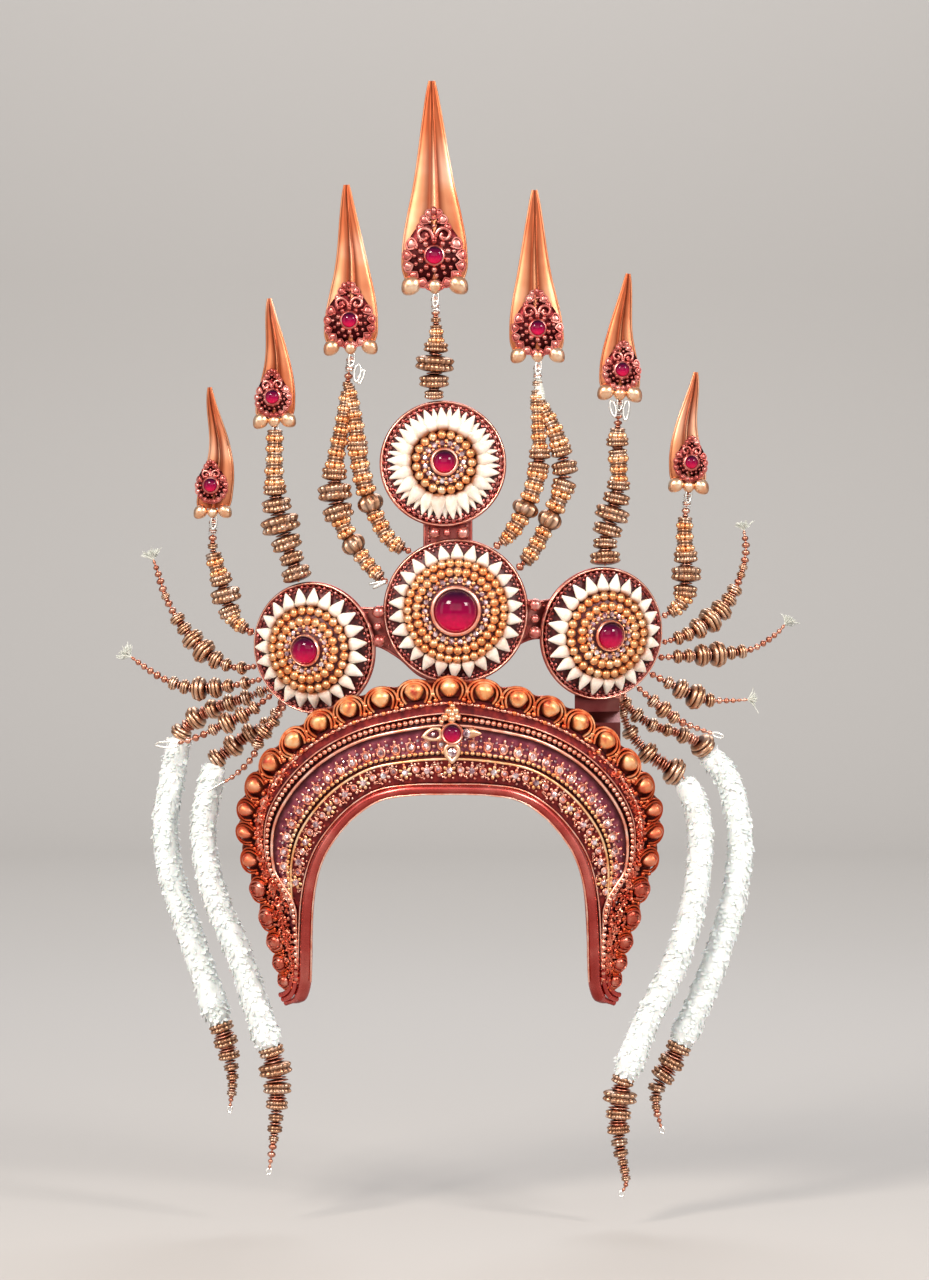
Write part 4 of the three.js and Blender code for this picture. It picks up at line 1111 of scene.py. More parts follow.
def makeDisc(name, disc):
    place = discMatrix(disc)
    radius, dome, ruby, wire = disc["radius"], disc["dome"], disc["ruby"], discRim["wire"]

    def circleTube(inset, height, thick):
        return moved(ringTube(ringPoints(radius - inset, height, turnsOf(96)), thick), place)

    rim = meshOf([moved(discPlate(disc), place)], 50)
    ridge = meshOf([circleTube(*discRim["ridge"])], 60)
    makePiece(name + "_rim", [rim, ridge], discCopper, [name + "_plate"])
    makePiece(name + "_ground", [meshOf([moved(shell, place)]) for shell in discBed(disc)], maroonGround)
    gold = [ringOn(disc, smallBead, giltBead, count, at, bedHeight(disc, at) + 0.22 * size,
                   (0.98 * size, 1.04 * size, 1.0 * size), 0.1, index * 0.07)
            for index, (at, count, size) in enumerate(disc["gold"])]
    at, count, size = disc["crystals"]
    gold += [ringOn(disc, smallBead, giltBead, count, at + shift, bedHeight(disc, at) + lift, small, 0,
                    math.pi / count) for shift, lift, small in ((1.2, 0.6, 2.6), (-1.5, 0.7, 2.1))]
    makePiece(name + "_gilt_beads", gold, giltBead, [name + "_beads"])
    collar = moved(discCollar(ruby, disc["bezel"], dome), place)
    makePiece(name + "_bezel", [meshOf([collar, circleTube(1.0, wire + 0.1, 0.42)], 70)], giltCopperWire)
    crystals = ringOn(disc, stone, foiledCrystal, count, at, bedHeight(disc, at) + 0.9, size, 0.1, 0, 0.25)
    makePiece(name + "_crystals", [crystals], foiledCrystal)
    root, tip, count, width = disc["petals"]
    lean, overlap = discRim["petalLean"], discRim["petalOverlap"]
    petals = [ringOn(disc, petal, ivoryPetal, count, (root + tip) / 2, 0.47 * dome - 1.0,
                     (width, (tip - root) / overlap, 0.8 * width), lean, 0.1, 0.14, 0.06)]
    if "under" in disc:
        low, high = disc["under"]
        petals.append(ringOn(disc, petal, ivoryPetal, count, (low + high) / 2, 0.3 * dome - 0.8,
                             (0.56 * width, (high - low) / overlap, 0.4 * width), lean, 0.1 + math.pi / count,
                             0.08, 0.08))
    makePiece(name + "_petals", petals, ivoryPetal)
    at, count, size = disc["studs"]
    studs = [ringOn(disc, grain, roseCopperBead, count, at, 1.7, size, 0, 0, 0.3),
             ringOn(disc, grain, roseCopperBead, count, at - 1.9, 1.6, size * 0.9, 0, math.pi / count, 0.3)]
    makePiece(name + "_studs", studs, roseCopperBead)
    glass = cabochon(ruby, 0.62 * ruby, place @ Matrix.Translation((0, 0, dome)), 1.6)
    makePiece(name + "_stone", [glass], rubyGlass, [name + "_ruby"])


for discName, discSizes in discs.items():
    makeDisc("disc_" + discName, discSizes)
print("discs ready")


# Backing plate

plateBand = [
    # x, low edge, high edge
    [-97, 50, 110], [-84, 52, 114], [-70, 62, 114], [-56, 80, 106], [-43, 84, 104.5], [-30, 78, 108],
    [-15, 66, 114], [0, 64, 114], [15, 66, 114], [32, 80, 110], [44, 87, 109], [52, 88, 108.5],
    [62, 84, 111], [76, 66, 118], [88, 56, 120], [97, 54, 118],
]
plateTabs = [(3.5, 17, 61, 0.7), (-72, 9, 44, 2.6), (84, 13, 50, 2.6)]  # x, half width, disc foot, clearance
plateNeck = (-14, 12)  # edges of the strip up to the top disc
plateStuds = [
    # x, front, z, diameter
    [-8.5, 7, 147, 6.4], [-1.5, 7, 147.2, 4.4], [7.6, 7, 147, 7], [-40, 7.4, 102.6, 7.4],
    [-40.4, 8.4, 94.6, 5], [-39.6, 7.4, 86.4, 7.4], [48.1, 9.6, 106.6, 7.4], [48.1, 10.6, 98.8, 5],
    [48.1, 9.6, 91, 7.4],
]


def plateStrip(columns, dark=0.5):
    # rounded sheet through columns of x and rows of z and set-back
    thick, edge = plate["thickness"], plate["edge"]
    rings = []
    for x, rows in columns:
        (low, lowBack), (high, highBack) = rows[0], rows[-1]
        face = [(low, lowBack + edge), (low + edge, lowBack), *rows[1:-1], (high - edge, highBack),
                (high, highBack + edge)]
        back = [(z, setBack + thick) for z, setBack in face[1:-1]][::-1]
        rings.append(np.array([[x, plateFront(x) + setBack, z] for z, setBack in face + back]))
    points, faces, shade = loft(rings, capped=True)
    return points * mm, faces, dark + shade


def plateTab(x, halfWidth, discFoot, clearance):
    # from the back of the diadem up behind a disc, a little behind the plate itself, painted nearly dark all
    # over as the shade behind the disc
    onShell = -diadem["back"] + clearance - plate["front"] - plate["flare"] * x * x
    rows = [(discFoot - 34, onShell), (discFoot - 13, onShell), (discFoot - 10, onShell), (discFoot - 4, 0.2),
            (discFoot - 1, 0.3), (discFoot + 42, 0.3)]
    return plateStrip([(at, rows) for at in np.linspace(x - halfWidth, x + halfWidth, 9)], 0.95)


def makePlate():
    outline = curvePoints(plateBand, 6)
    shells = [plateStrip([(x, ((low, 0), ((low + high) / 2, 0), (high, 0))) for x, low, high in outline]),
              plateStrip([(x, ((100, 0), (150, 0), (200, 0))) for x in np.linspace(*plateNeck, 9)])]
    shells += [plateTab(*tab) for tab in plateTabs]
    edges = [np.stack([outline[:, 0], plateFront(outline[:, 0]) + 0.5, outline[:, column]], axis=1)
             for column in (1, 2)]
    edges += [np.array([[x, plateFront(x) + 0.5, z] for z in np.linspace(112, 186, 12)]) for x in plateNeck]
    wires = drawWires(discCopper, edges, plate["wire"], 10)
    makePiece("plate_sheet", [meshOf(shells, 30), wires], discCopper, ["backing_plate"])
    heads, necks, grains = [], [], []
    for x, front, z, size in plateStuds:
        heads += [setShapes(smallBead, roseCopperBead, (x, front, z), (1, 0, 0), upward, size),
                  setShapes(smallBead, roseCopperBead, (x, front + 0.52 * size, z), forward, upward,
                            (0.62 * size, 0.62 * size, 1.6))]
        necks.append([(x, front, z), (x, plateFront(x) + 1, z)])
    heads.append(drawWires(roseCopperBead, necks, 1.3, 12))
    for low, high in ((-52, -32), (41, 56)):
        for x, bottom, top in outline[(outline[:, 0] > low) & (outline[:, 0] < high)][::2]:
            grains += [(x, plateFront(x) - 0.3, bottom + 2.6), (x, plateFront(x) - 0.3, top - 2.6)]
    grains += [(x, plateFront(x) - 0.3, z) for z in np.linspace(143, 151, 5) for x in (-11.6, 9.6)]
    heads.append(setShapes(smallBead, roseCopperBead, grains, forward, upward, 2.0))
    makePiece("plate_studs", heads, roseCopperBead)


makePlate()
print("plate ready")


# Blades: leaves of sheet copper with a jewelled foot

# foot and tip of each blade, its half width, height and size of its ruby, turn and sideways bow
blades = [
    {"base": (-135, 42, 156), "tip": (-137, 42, 231), "half": 9.8, "ruby": 19, "gem": 3.8, "yaw": -8,
     "bow": 5},
    {"base": (-98.8, 22, 207), "tip": (-102, 22, 280), "half": 10.8, "ruby": 17, "gem": 3.8, "yaw": -6,
     "bow": 3},
    {"base": (-55.5, 11, 246.5), "tip": (-58, 11, 343), "half": 14.8, "ruby": 20, "gem": 4.1, "yaw": -4,
     "bow": 1.8},
    {"base": (-8.2, 8, 280), "tip": (-10, 8, 401), "half": 18.2, "ruby": 22.5, "gem": 4.8, "yaw": 0,
     "bow": 0.3},
    {"base": (49.5, 11, 242), "tip": (47.8, 11, 340), "half": 14.9, "ruby": 20, "gem": 4.1, "yaw": 4,
     "bow": -1},
    {"base": (95.8, 22, 222.5), "tip": (101, 22, 294), "half": 11.2, "ruby": 17, "gem": 3.8, "yaw": 6,
     "bow": -2.2},
    {"base": (135.7, 40, 171), "tip": (140.3, 40, 239.5), "half": 10.2, "ruby": 17, "gem": 3.6, "yaw": 8,
     "bow": -3.5},
]
bladeOutline = [
    # share of the height, share of the half width, height of the front ridge, depth of the back
    (0.08, 0.9, 3.2, 1.6), (0.15, 1, 3.4, 1.6), (0.24, 0.97, 3.4, 1.6), (0.36, 0.84, 3.2, 1.5),
    (0.5, 0.64, 2.8, 1.3), (0.64, 0.48, 2.4, 1.2), (0.8, 0.32, 2, 1), (0.93, 0.18, 1.5, 0.9),
    (1, 0.08, 0.8, 0.6),
]
# share of the half width, share of the ridge, and painted shade, dark in the flutes so the flanks stay pale
# as a painted highlight: a thin fold up the middle between two flutes
bladeSection = [(0, 1, 0), (0.05, 0.92, 0.3), (0.12, 0.66, 0.85), (0.24, 0.52, 0.95), (0.36, 0.53, 0.65),
                (0.5, 0.57, 0.25), (0.68, 0.54, 0.05), (0.84, 0.42, 0), (0.93, 0.28, 0), (0.97, 0.18, 0.2),
                (1, 0.03, 0)]
bladeBack = ((0.86, 0.8), (0.4, 0.75), (0.1, 1), (-0.1, 1), (-0.4, 0.75), (-0.86, 0.8))
# warmth of the leaf up its height: pale about a third of the way up as a painted highlight, warmer toward the
# foot and the tip
leafWarmthAndHighlight = [(0, 1.0), (0.14, 0.8), (0.26, 0.35), (0.36, 0.05), (0.5, 0.1), (0.64, 0.5), (0.8, 0.95),
              (1, 0.7)]
# the jewelled foot, in half widths of the blade from its ruby
bladeFeet = {
    "level": -3.7, "top": 1.16, "wire": 0.062,
    # shells at its sides and a fan of them on top: across, up, direction across and up, width, length
    "shells": [(0.68, 0.36, 1, 0.5, 0.36, 0.34), (0.82, 0.02, 1, 0, 0.32, 0.3),
               (0.8, -0.32, 1, -0.3, 0.32, 0.3), (0.64, -0.6, 0.8, -0.8, 0.32, 0.3),
               (0.38, -0.82, 0.4, -1, 0.34, 0.3), (0.12, -0.92, 0.1, -1, 0.3, 0.28)],
    "fan": [(0.26, -0.06, 1, 0.6, 0.28, 0.3), (0.4, -0.3, 1, 0.2, 0.24, 0.26),
            (0.13, 0.12, 0.5, 1, 0.22, 0.3)],
    "grains": [(0.44, 0.2, 10), (0.62, 0.14, 15)],  # rings round the ruby: radius, size and count
    "spray": [(0, -0.02), (-0.14, -0.12), (0.14, -0.12), (-0.24, -0.3), (0.24, -0.3), (0, -0.24),
              (-0.12, -0.4), (0.12, -0.4)],
    "scroll": [(0.04, 0.44), (0.05, 0.62), (0.16, 0.8), (0.34, 0.84), (0.48, 0.72), (0.46, 0.56), (0.3, 0.5),
               (0.2, 0.58), (0.26, 0.68)],
    "mound": [(0.02, 0, 1), (0.3, -0.02, 1), (0.62, -0.3, 1), (0.86, -0.85, 1), (0.9, -1.2, 1), (0, -1.2, 1)],
}
# the two horns and the bud between them, in half widths, fuller on the small blades
bladeHorns = {"heights": [60, 95], "fullness": [1.5, 0.95], "across": 0.74, "sizes": (0.62, 0.74, 0.58),
              "budSizes": (0.5, 0.52, 0.48)}


def bladeMatrix(blade):
    rise = Vector(blade["tip"]) - Vector(blade["base"])
    lean, yaw = math.atan2(rise.x, rise.z), math.radians(blade["yaw"])
    turn = Matrix.Rotation(lean, 4, "Y") @ Matrix.Rotation(yaw, 4, "Z")
    return Matrix.Translation(blade["base"]) @ turn, rise.length


def inPlace(matrix, rows):
    whole = np.array(matrix)
    return np.asarray(rows, float) @ whole[:3, :3].T + whole[:3, 3]


def setOnBlade(matrix, shape, finish, rows, directions, sizes, facing=forward, tilt=0.08):
    # rows and directions in the blade's own millimetres
    turn = np.array(matrix)[:3, :3]
    points = inPlace(matrix, np.atleast_2d(np.asarray(rows, float)))
    directions, facings = (np.broadcast_to(np.asarray(way, float), points.shape) @ turn.T
                           for way in (directions, facing))
    return setShapes(shape, finish, points, facings, directions, sizes, tilt)


def bowAt(blade, share):
    return blade["bow"] * math.sin(math.pi * share) ** 2


def bladeLeaf(blade, height):
    sides = [(-u, lift, dark) for u, lift, dark in bladeSection[:0:-1]] + list(bladeSection)
    rings, shades = [], []
    for share, width, ridge, back in curvePoints(bladeOutline, 6):
        middle, reach = bowAt(blade, share), blade["half"] * width
        narrow = min(1.0, 2.2 * (1 - share) + 0.25)
        rings.append(np.array([(middle + u * reach, -ridge * lift, share * height) for u, lift, dark in sides]
                              + [(middle + u * reach, back * deep, share * height) for u, deep in bladeBack]))
        # painted shade in the flutes, with the flanks left pale as a painted highlight; darker toward the tip
        tipDark = 0.6 * min(1.0, max(0.0, (share - 0.55) / 0.35))
        shades.append([max(dark * narrow, tipDark) for u, lift, dark in sides] + [0.4] * len(bladeBack))
    return loft(rings, shades, capped=True)


def bladeFoot(blade, matrix):
    half, ruby, gem, level = blade["half"], blade["ruby"], blade["gem"], bladeFeet["level"]
    top = ruby + bladeFeet["top"] * half
    parts = []

    def add(shape, rows, directions, sizes, **tuning):
        parts.append(setOnBlade(matrix, shape, roseCopperBead, rows, directions, sizes, **tuning))

    for side in (-1, 1):
        for x, z, towardX, towardZ, width, length in bladeFeet["shells"]:
            add(shellPetal, (side * x * half, level + 1.4 * x, ruby + z * half), (side * towardX, 0, towardZ),
                (width * half, length * half, 3.4), facing=(0.35 * side * x, -1, 0.2 * z))
    for radius, size, count in bladeFeet["grains"]:
        angles, reach = (np.arange(count) + 0.5) * 2 * math.pi / count, radius * half
        add(smallBead, [(reach * math.cos(a), level - 1.3 + 1.3 * radius, ruby + reach * math.sin(a))
                        for a in angles], upward, size * half, tilt=0.3)
    for side in (-1, 1):
        line = curvePoints([(side * x * half, level - 0.2, ruby + z * half)
                            for x, z in bladeFeet["scroll"]], 5)
        parts.append(drawWires(roseCopperBead, [inPlace(matrix, line)], bladeFeet["wire"] * half))
    add(smallBead, [(x * half, level + 0.1, top + z * half) for x, z in bladeFeet["spray"]], upward,
        0.13 * half, tilt=0.3)
    add(smallBead, (0, level + 0.3, top + 0.22 * half), upward, (0.2 * half, 0.3 * half, 0.2 * half))
    for side in (-1, 1):
        for x, z, towardX, towardZ, width, length in bladeFeet["fan"]:
            add(shellPetal, (side * x * half, level + 0.9, top + z * half), (side * towardX, 0, towardZ),
                (width * half, length * half, 3))
    points, faces, shade = lathe(bladeFeet["mound"], 32)
    across, up, rise = points.T
    points = np.stack([across * half * 0.98, np.minimum(-3.2 - 2.2 * rise - 0.6, 0.6),
                       ruby + up * half * np.where(up > 0, 1.3, 0.95)], axis=1)
    parts.append(meshOf([moved((points, faces, shade), inMetres @ matrix)]))
    collar = lathe([(0, -1.2, 1), (gem + 1.7, -1.2, 0.8), (gem + 1.6, 0.6, 0.2), (gem + 0.9, 1.7, 0),
                    (gem + 0.2, 2.0, 0), (gem - 0.1, 1.2, 0.8), (gem - 0.2, 0.4, 1), (0, 0.2, 1)], 28)
    turn = Matrix.Rotation(math.pi / 2, 4, "X")
    toFront = inMetres @ matrix @ (Matrix.Translation((0, level, ruby)) @ turn)
    parts.append(meshOf([moved(collar, toFront)], 60))
    return parts, toFront


def makeBlade(number, blade):
    matrix, height = bladeMatrix(blade)
    half, name = blade["half"], "blade_" + str(number)
    leaf = meshOf([moved(bladeLeaf(blade, height), inMetres @ matrix)], 30)
    toBlade = (inMetres @ matrix).inverted()
    shares = np.array([(toBlade @ vertex.co).z for vertex in leaf.vertices]) / height
    # painted highlight: pale about a third of the way up, warmer toward the foot and the tip
    setLayer(leaf, "tone", np.interp(shares, *zip(*leafWarmthAndHighlight)))
    edges = [inPlace(matrix, [(bowAt(blade, share) + side * half * width, 0.1, share * height)
                              for share, width, ridge, back in curvePoints(bladeOutline, 6)])
             for side in (-1, 1)]
    makePiece(name + "_leaf", [leaf, drawWires(polishedCopper, edges, 0.55)], polishedCopper, [name])
    parts, stonePlace = bladeFoot(blade, matrix)
    makePiece(name + "_foot", parts, roseCopperBead)
    low = 0.045 * height + 0.6
    full = half * np.interp(height, bladeHorns["heights"], bladeHorns["fullness"])
    across = bladeHorns["across"] * half
    horns = [setOnBlade(matrix, lobe, hornGilt, [(-across, -1.0, low), (across, -1.0, low)],
                        [(-0.75, 0, -0.8), (0.75, 0, -0.8)], [size * full for size in bladeHorns["sizes"]],
                        tilt=0.03),
             setOnBlade(matrix, lobe, hornGilt, (0, -1.4, low - 0.6), (0, 0, -1),
                        [size * full for size in bladeHorns["budSizes"]])]
    makePiece(name + "_horns", horns, hornGilt)
    glass = cabochon(blade["gem"], 2.4, stonePlace @ Matrix.Translation((0, 0, 1.6)), 1.2)
    makePiece(name + "_stone", [glass], rubyGlass, ["blade_ruby_" + str(number)])


for bladeNumber, bladeSizes in enumerate(blades):
    makeBlade(bladeNumber + 1, bladeSizes)
print("blades ready")


# Beaded stems, side strands, hangers and finials

beading = {
    "thread": 0.6, "collar": 1.7, "seat": 0.6, "straight": 6,
    "fill": 0.84, "looseFill": 0.68, "flatness": 0.55,  # shares of a bead's step and of its diameter
    "step": (1.6, 0.42),  # room on the thread, and its growth with the diameter
    "collarReach": (0.5, 0.62), "wideReach": (0.68, 0.8),  # shares of the smaller bead beside a collar
    # diameters at which the kind of bead changes
    "flanged": 11, "round": 5.5, "clustered": 10.6, "grained": 6.5,
}
stems = [
    # beads are diameters in order, or a pair of diameter and length
    [{"disc": "left", "angle": 168, "points": [(-124, 46, 99), (-129, 46, 116), (-135, 44, 136)],
      "beads": [5, 7.5, 8.5, 13, 17.5, 13, 9, 9.5, 6, 5, 5, 5]}],
    [{"disc": "left", "angle": 102, "points": [(-90, 28, 134.5), (-96, 28, 152.5), (-99, 26, 172)],
      "beads": [17, 14, 17.5, 22.5, 17, 13.5, 10, 10, 9, 9, 9]}],
    [{"disc": "centre", "angle": 158,
      "points": [(-46.5, 16, 130), (-61.5, 16, 154.5), (-65, 16, 180), (-60, 13, 211)],
      "beads": [4, 7.5, 8, 8.5, (14, 12.5), 10, 17.5, 19.5, 14.5, 10, 9, 9, 8, 8, 7, 7, 6, 5, 5, 5]},
     {"disc": "centre", "angle": 127,
      "points": [(-33, 14, 142.5), (-45, 14, 165), (-51, 14, 188), (-53, 13, 208)], "end": (-57, 12, 231),
      "beads": [4, 8.5, 8.5, 9.5, 9, (15, 12.5), 10.5, 10.5, 10, 12.5, 9, 9, 8, 8, 7]}],
    [{"disc": "top", "angle": 98, "points": [(-8.5, 11, 239), (-7.5, 10, 256)],
      "beads": [11, 17, 22, 14, 8, 7, 6, 5, 5, 5]}],
    [{"disc": "centre", "angle": 59,
      "points": [(33.5, 12, 145.5), (44.5, 12, 165), (50.5, 12, 187), (49.5, 12, 213)],
      "beads": [5, 7, 9, 9.5, (15.5, 11.5), 10, 10.5, 12.5, 12.5, 8, 8, 7, 7, 8.5, 7, 6, 5, 5]},
     {"disc": "centre", "angle": 34,
      "points": [(46, 15, 135.5), (57.5, 15, 157), (65, 15, 178), (60.5, 13, 201)], "end": (50, 12, 223),
      "beads": [5, 9, 9, 9, (14, 11.5), 10.5, 14, 15, 12.5, 10, 9, 8, 7]}],
    [{"disc": "right", "angle": 89, "points": [(88.5, 28, 144.5), (95.5, 27, 172.5), (95, 25, 200)],
      "beads": [17.5, 14, 17, 20, 15.5, 13.5, 9, 10.5, 11, 13, 9, 5, 5, 5, 5]}],
    [{"disc": "right", "angle": 14, "points": [(132.5, 44, 108), (135, 44, 123.5), (134, 43, 150)],
      "beads": [4, 8, 9.5, 14, 17.5, 14, 9.5, 9, 8.5, 5, 5, 4]}],
]
sideStrands = {
    "strand_l1": {"disc": "left", "angle": 196, "points": [(-123, 51, 71), (-137, 55, 77), (-151, 59, 91),
                                                           (-162.5, 62, 109), (-169, 65, 127.5),
                                                           (-171, 66, 133)],
                  "beads": [3.5, 3.5, 8, 4, 8, 11.5, 15.5, 14, 9.5, 9.5, 5, 5, 5.5, 5, 5, 4.5, 3.5, 2],
                  "tuft": 7},
    "strand_l2": {"disc": "left", "angle": 208, "points": [(-126, 53, 60.5), (-148, 59, 59), (-165, 63, 64.5),
                                                           (-180, 67, 74), (-184, 68, 77)],
                  "beads": [3.5, 3.5, 8, 4, 8.5, 12.5, 14.5, 9, 8.5, 4.5, 5, 4.5, 4, 3.5, 2], "tuft": 8},
    "strand_l3": {"disc": "left", "angle": 224, "points": [(-114, 43, 46.5), (-130.5, 44, 38), (-145, 46, 31),
                                                           (-160, 50, 27), (-169.5, 52, 27)],
                  "beads": [3.5, 4, 8.5, 11, 13.5, 7.5, 4.5, 4.5, 4, 2.5, 2, 2, 2, 2], "bare": 4,
                  "loop": 3.2},
    "strand_l4": {"disc": "left", "angle": 239,
                  "points": [(-100, 43.5, 41), (-108, 45, 32), (-112.5, 48, 20.5),
                              (-123, 50, 9.5), (-139, 50, 0)],
                  "beads": [3.5, 3.5, 8, 11, 8, 4.5, 4, 4, 3.5, 3, 2, 2, 2, 2], "bare": 3},
    "strand_r1": {"disc": "right", "angle": -8, "points": [(136, 49, 90), (155, 56, 103), (166.5, 61, 121.5),
                                                           (170.5, 63, 138), (169.5, 65, 150)],
                  "beads": [3.5, 3.5, 8.5, 9, 13, 16, 14, 10, 9.5, 5, 5.5, 5.5, 5, 5, 5, 4, 2], "tuft": 6},
    "strand_r2": {"disc": "right", "angle": -21, "points": [(133, 48, 77.5), (157.5, 56, 79), (175, 61, 82),
                                                            (189.5, 65, 91.5), (193, 66, 95.5)],
                  "beads": [4, 4, 8.5, 8.5, 13.5, 15.5, 8.5, 8.5, 4, 4, 4, 4, 3.5, 3, 2], "tuft": 7},
    "strand_r3": {"disc": "right", "angle": -36, "points": [(129.5, 47, 60), (144.5, 51, 53), (161, 55, 52),
                                                            (171, 57, 52.5)],
                  "beads": [4, 4.5, 8, 12.5, 15.5, 8.5, 4, 3.5, 3, 2, 2], "tuft": 6},
    "strand_r4": {"disc": "right", "angle": -52, "points": [(118.5, 44, 50), (130.5, 48, 41), (145, 52, 35),
                                                            (157.5, 54, 31)],
                  "beads": [3.5, 4, 8.5, 11, 8, 5, 4, 3.5, 3, 2.5, 2, 2], "bare": 2, "loop": 2.6},
}
garlands = {
    "lo": {"hanger": [(-92, 47.4, 60), (-95, 52, 60), (-103, 60, 59), (-116, 61, 54), (-130, 64, 49.5),
                      (-145, 70, 43), (-152, 73, 37)],
           "hangerBeads": [4, 5, 7, 7.5, 10, 11, 12, 14.5, 13],
           "garland": [(-157, 75, 27), (-161, 77, 8), (-165, 80, -16), (-164, 80, -40), (-157, 80, -66),
                       (-147, 79, -95), (-134, 77, -133)],
           "finial": [(-128.5, 77, -152), (-126, 77, -168), (-127.5, 77, -184)],
           "finialBeads": [14.5, 14.5, 13, 9, 7.5, 6, 6, 3, 2]},
    "li": {"hanger": [(-92, 47.4, 54), (-95, 52, 53), (-103, 58, 40), (-116, 60, 32.5), (-127, 62.5, 24),
                      (-132, 63, 19.5)],
           "hangerBeads": [4, 5, 8, 10, 12.5, 14, 13],
           "garland": [(-136, 63, 12), (-141, 62, -11), (-141.5, 61, -32), (-134.5, 60, -62), (-122, 60, -92),
                       (-111, 61, -125), (-104.5, 63, -145)],
           "finial": [(-99.5, 63, -170), (-101, 63, -196), (-104, 63, -218)],
           "finialBeads": [15, 19.5, 16.5, 13, 9, 9, 6, 5, 5, 3, 2]},
    "ri": {"hanger": [(92, 47.4, 60), (95, 52, 59), (103, 60, 35), (114.5, 61, 21), (125, 62, 14),
                      (130, 63, 10.5)],
           "hangerBeads": [4, 5, 7, 10.5, 14, 17],
           "garland": [(136, 63, 3.5), (142, 63, -10), (144, 62, -35), (139, 60, -70), (127, 60, -105),
                       (112, 61, -135), (101.5, 63, -162.5)],
           "finial": [(97, 63, -188), (98, 63, -206), (101.5, 63, -226), (99.5, 63, -231)],
           "finialBeads": [13.5, 20, 15, 13.5, 10, 9, 6.5, 6, 5.5, 3, 2]},
    "ro": {"hanger": [(92, 47.4, 69), (95, 52, 68), (103, 62, 48), (116, 64, 38), (133, 71, 32.5),
                      (146, 75, 26)],
           "hangerBeads": [4, 5, 6, 7.5, 10, 9, 8, 10.5, 15.5],
           "garland": [(151, 77, 19), (160.5, 79, 7), (168, 81, -22), (166, 80, -57), (156, 79, -93),
                       (144, 77, -124), (134.5, 77, -145)],
           "finial": [(126.5, 77, -161), (120, 77, -172), (119.5, 77, -184), (122.5, 77, -196)],
           "finialBeads": [15, 15.5, 14.5, 10.5, 7.5, 5.5, 5, 3, 2]},
}


def rimPoint(name, angle):
    disc = discs[name]
    at, side, rise, normal = discAxes(disc)
    turn = math.radians(angle)
    return at + (disc["radius"] + beading["seat"]) * (side * math.cos(turn) + rise * math.sin(turn))


def beadRun(route, beads):
    # diameter, place along the route and step of each bead, spread over the whole route
    diameters = np.array([bead[0] if isinstance(bead, tuple) else bead for bead in beads], float)
    least, growth = beading["step"]
    lengths = np.array([bead[1] if isinstance(bead, tuple) else least + growth * bead for bead in beads])
    steps = lengths * routeLength(route) / lengths.sum()
    return diameters, np.cumsum(steps) - steps / 2, steps


clusterRing = {"count": 7, "radius": 0.4, "size": 0.3, "extra": 0.9, "tilt": 0.3}


def beadRings(route, places, around, seed):
    # small gilt beads threaded round the strand, sized by the beads beside them
    count, radius = clusterRing["count"], clusterRing["radius"] * around
    points, ahead = alongRoute(route, places)
    side = squareTo(ahead)
    over = np.cross(ahead, side)
    spots, facings = [], []
    for turn in turnsOf(count):
        out = side * math.cos(turn) + over * math.sin(turn)
        spots.append(points + out * radius[:, None])
        facings.append(out)
    sizes = np.tile((clusterRing["size"] * around + clusterRing["extra"])[:, None], (count, 3))
    return setShapes(smallBead, giltBead, np.vstack(spots), np.vstack(facings), np.tile(ahead, (count, 1)),
                     sizes, clusterRing["tilt"], seed)


def strandMeshes(route, beads, clusters, bare, seed, flat):
    # brass beads, brown copper beads and gilt clusters of one strand; its last beads may be bare wire
    diameters, places, steps = beadRun(route, beads)
    points, ahead = alongRoute(route, places)
    outward = squareTo(ahead)
    paired = np.array([isinstance(bead, tuple) for bead in beads])
    fine = ~paired & (diameters < beading["round"])
    worn = np.arange(len(beads)) < len(beads) - bare
    clustered = clusters & (diameters < beading["clustered"]) & (diameters >= beading["round"])
    fill = np.where(clustered | (flat & ~fine), beading["looseFill"], beading["fill"]) * steps
    thick = np.where(fine | paired, fill, np.minimum(fill, beading["flatness"] * diameters))
    brass, brown, gilt = [], [], []
    large = diameters >= beading["flanged"]
    bigShape, smallShape = (bigFlanged, smallFlanged) if clusters or flat else (ringed, ringed)
    kinds = ((bigShape, brass, antiqueBrass, ~paired & large),
             (smallShape, brass, antiqueBrass, ~paired & ~fine & ~large),
             (melon, brass, antiqueBrass, paired), (smallBead, brown, brownCopperBead, fine & worn))
    for shape, kept, finish, chosen in kinds:
        if chosen.any():
            sizes = np.stack([diameters, diameters, thick], axis=1)[chosen]
            kept.append(setShapes(shape, finish, points[chosen], ahead[chosen], outward[chosen], sizes,
                                  0.06, seed))
    small = np.minimum(diameters[:-1], diameters[1:])
    wide = np.maximum(diameters[:-1], diameters[1:]) >= beading["round"]
    spread = beading["wideReach" if flat else "collarReach"]
    spots, reach = [], []
    for index in np.flatnonzero(wide):
        # collars fill the thread between two beads
        low, high = places[index] + 0.5 * thick[index], places[index + 1] - 0.5 * thick[index + 1]
        count = max(1, round((high - low) / beading["collar"]))
        spots += [low + (high - low) * (turn + 0.5) / count for turn in range(count)]
        reach += [spread[turn % 2] * small[index] + 1 for turn in range(count)]
    if spots:
        collarPoints, collarAhead = alongRoute(route, spots)
        collars = np.stack([reach, reach, np.full(len(reach), beading["collar"])], axis=1)
        brown.append(setShapes(smallBead, brownCopperBead, collarPoints, collarAhead, squareTo(collarAhead),
                               collars, 0.1, seed))
    grained = clusters & wide & (small >= beading["grained"]) & (small < beading["clustered"])
    if grained.any():
        joints = (places + steps / 2)[:-1]
        gilt.append(beadRings(route, joints[grained], small[grained], seed))
    wireEnd = steps[len(beads) - bare:].sum()
    thread = alongRoute(route, np.linspace(0, routeLength(route) - wireEnd, 80))[0]
    brown.append(drawWires(brownCopperBead, [thread], beading["thread"]))
    return brass, brown, gilt, wireEnd


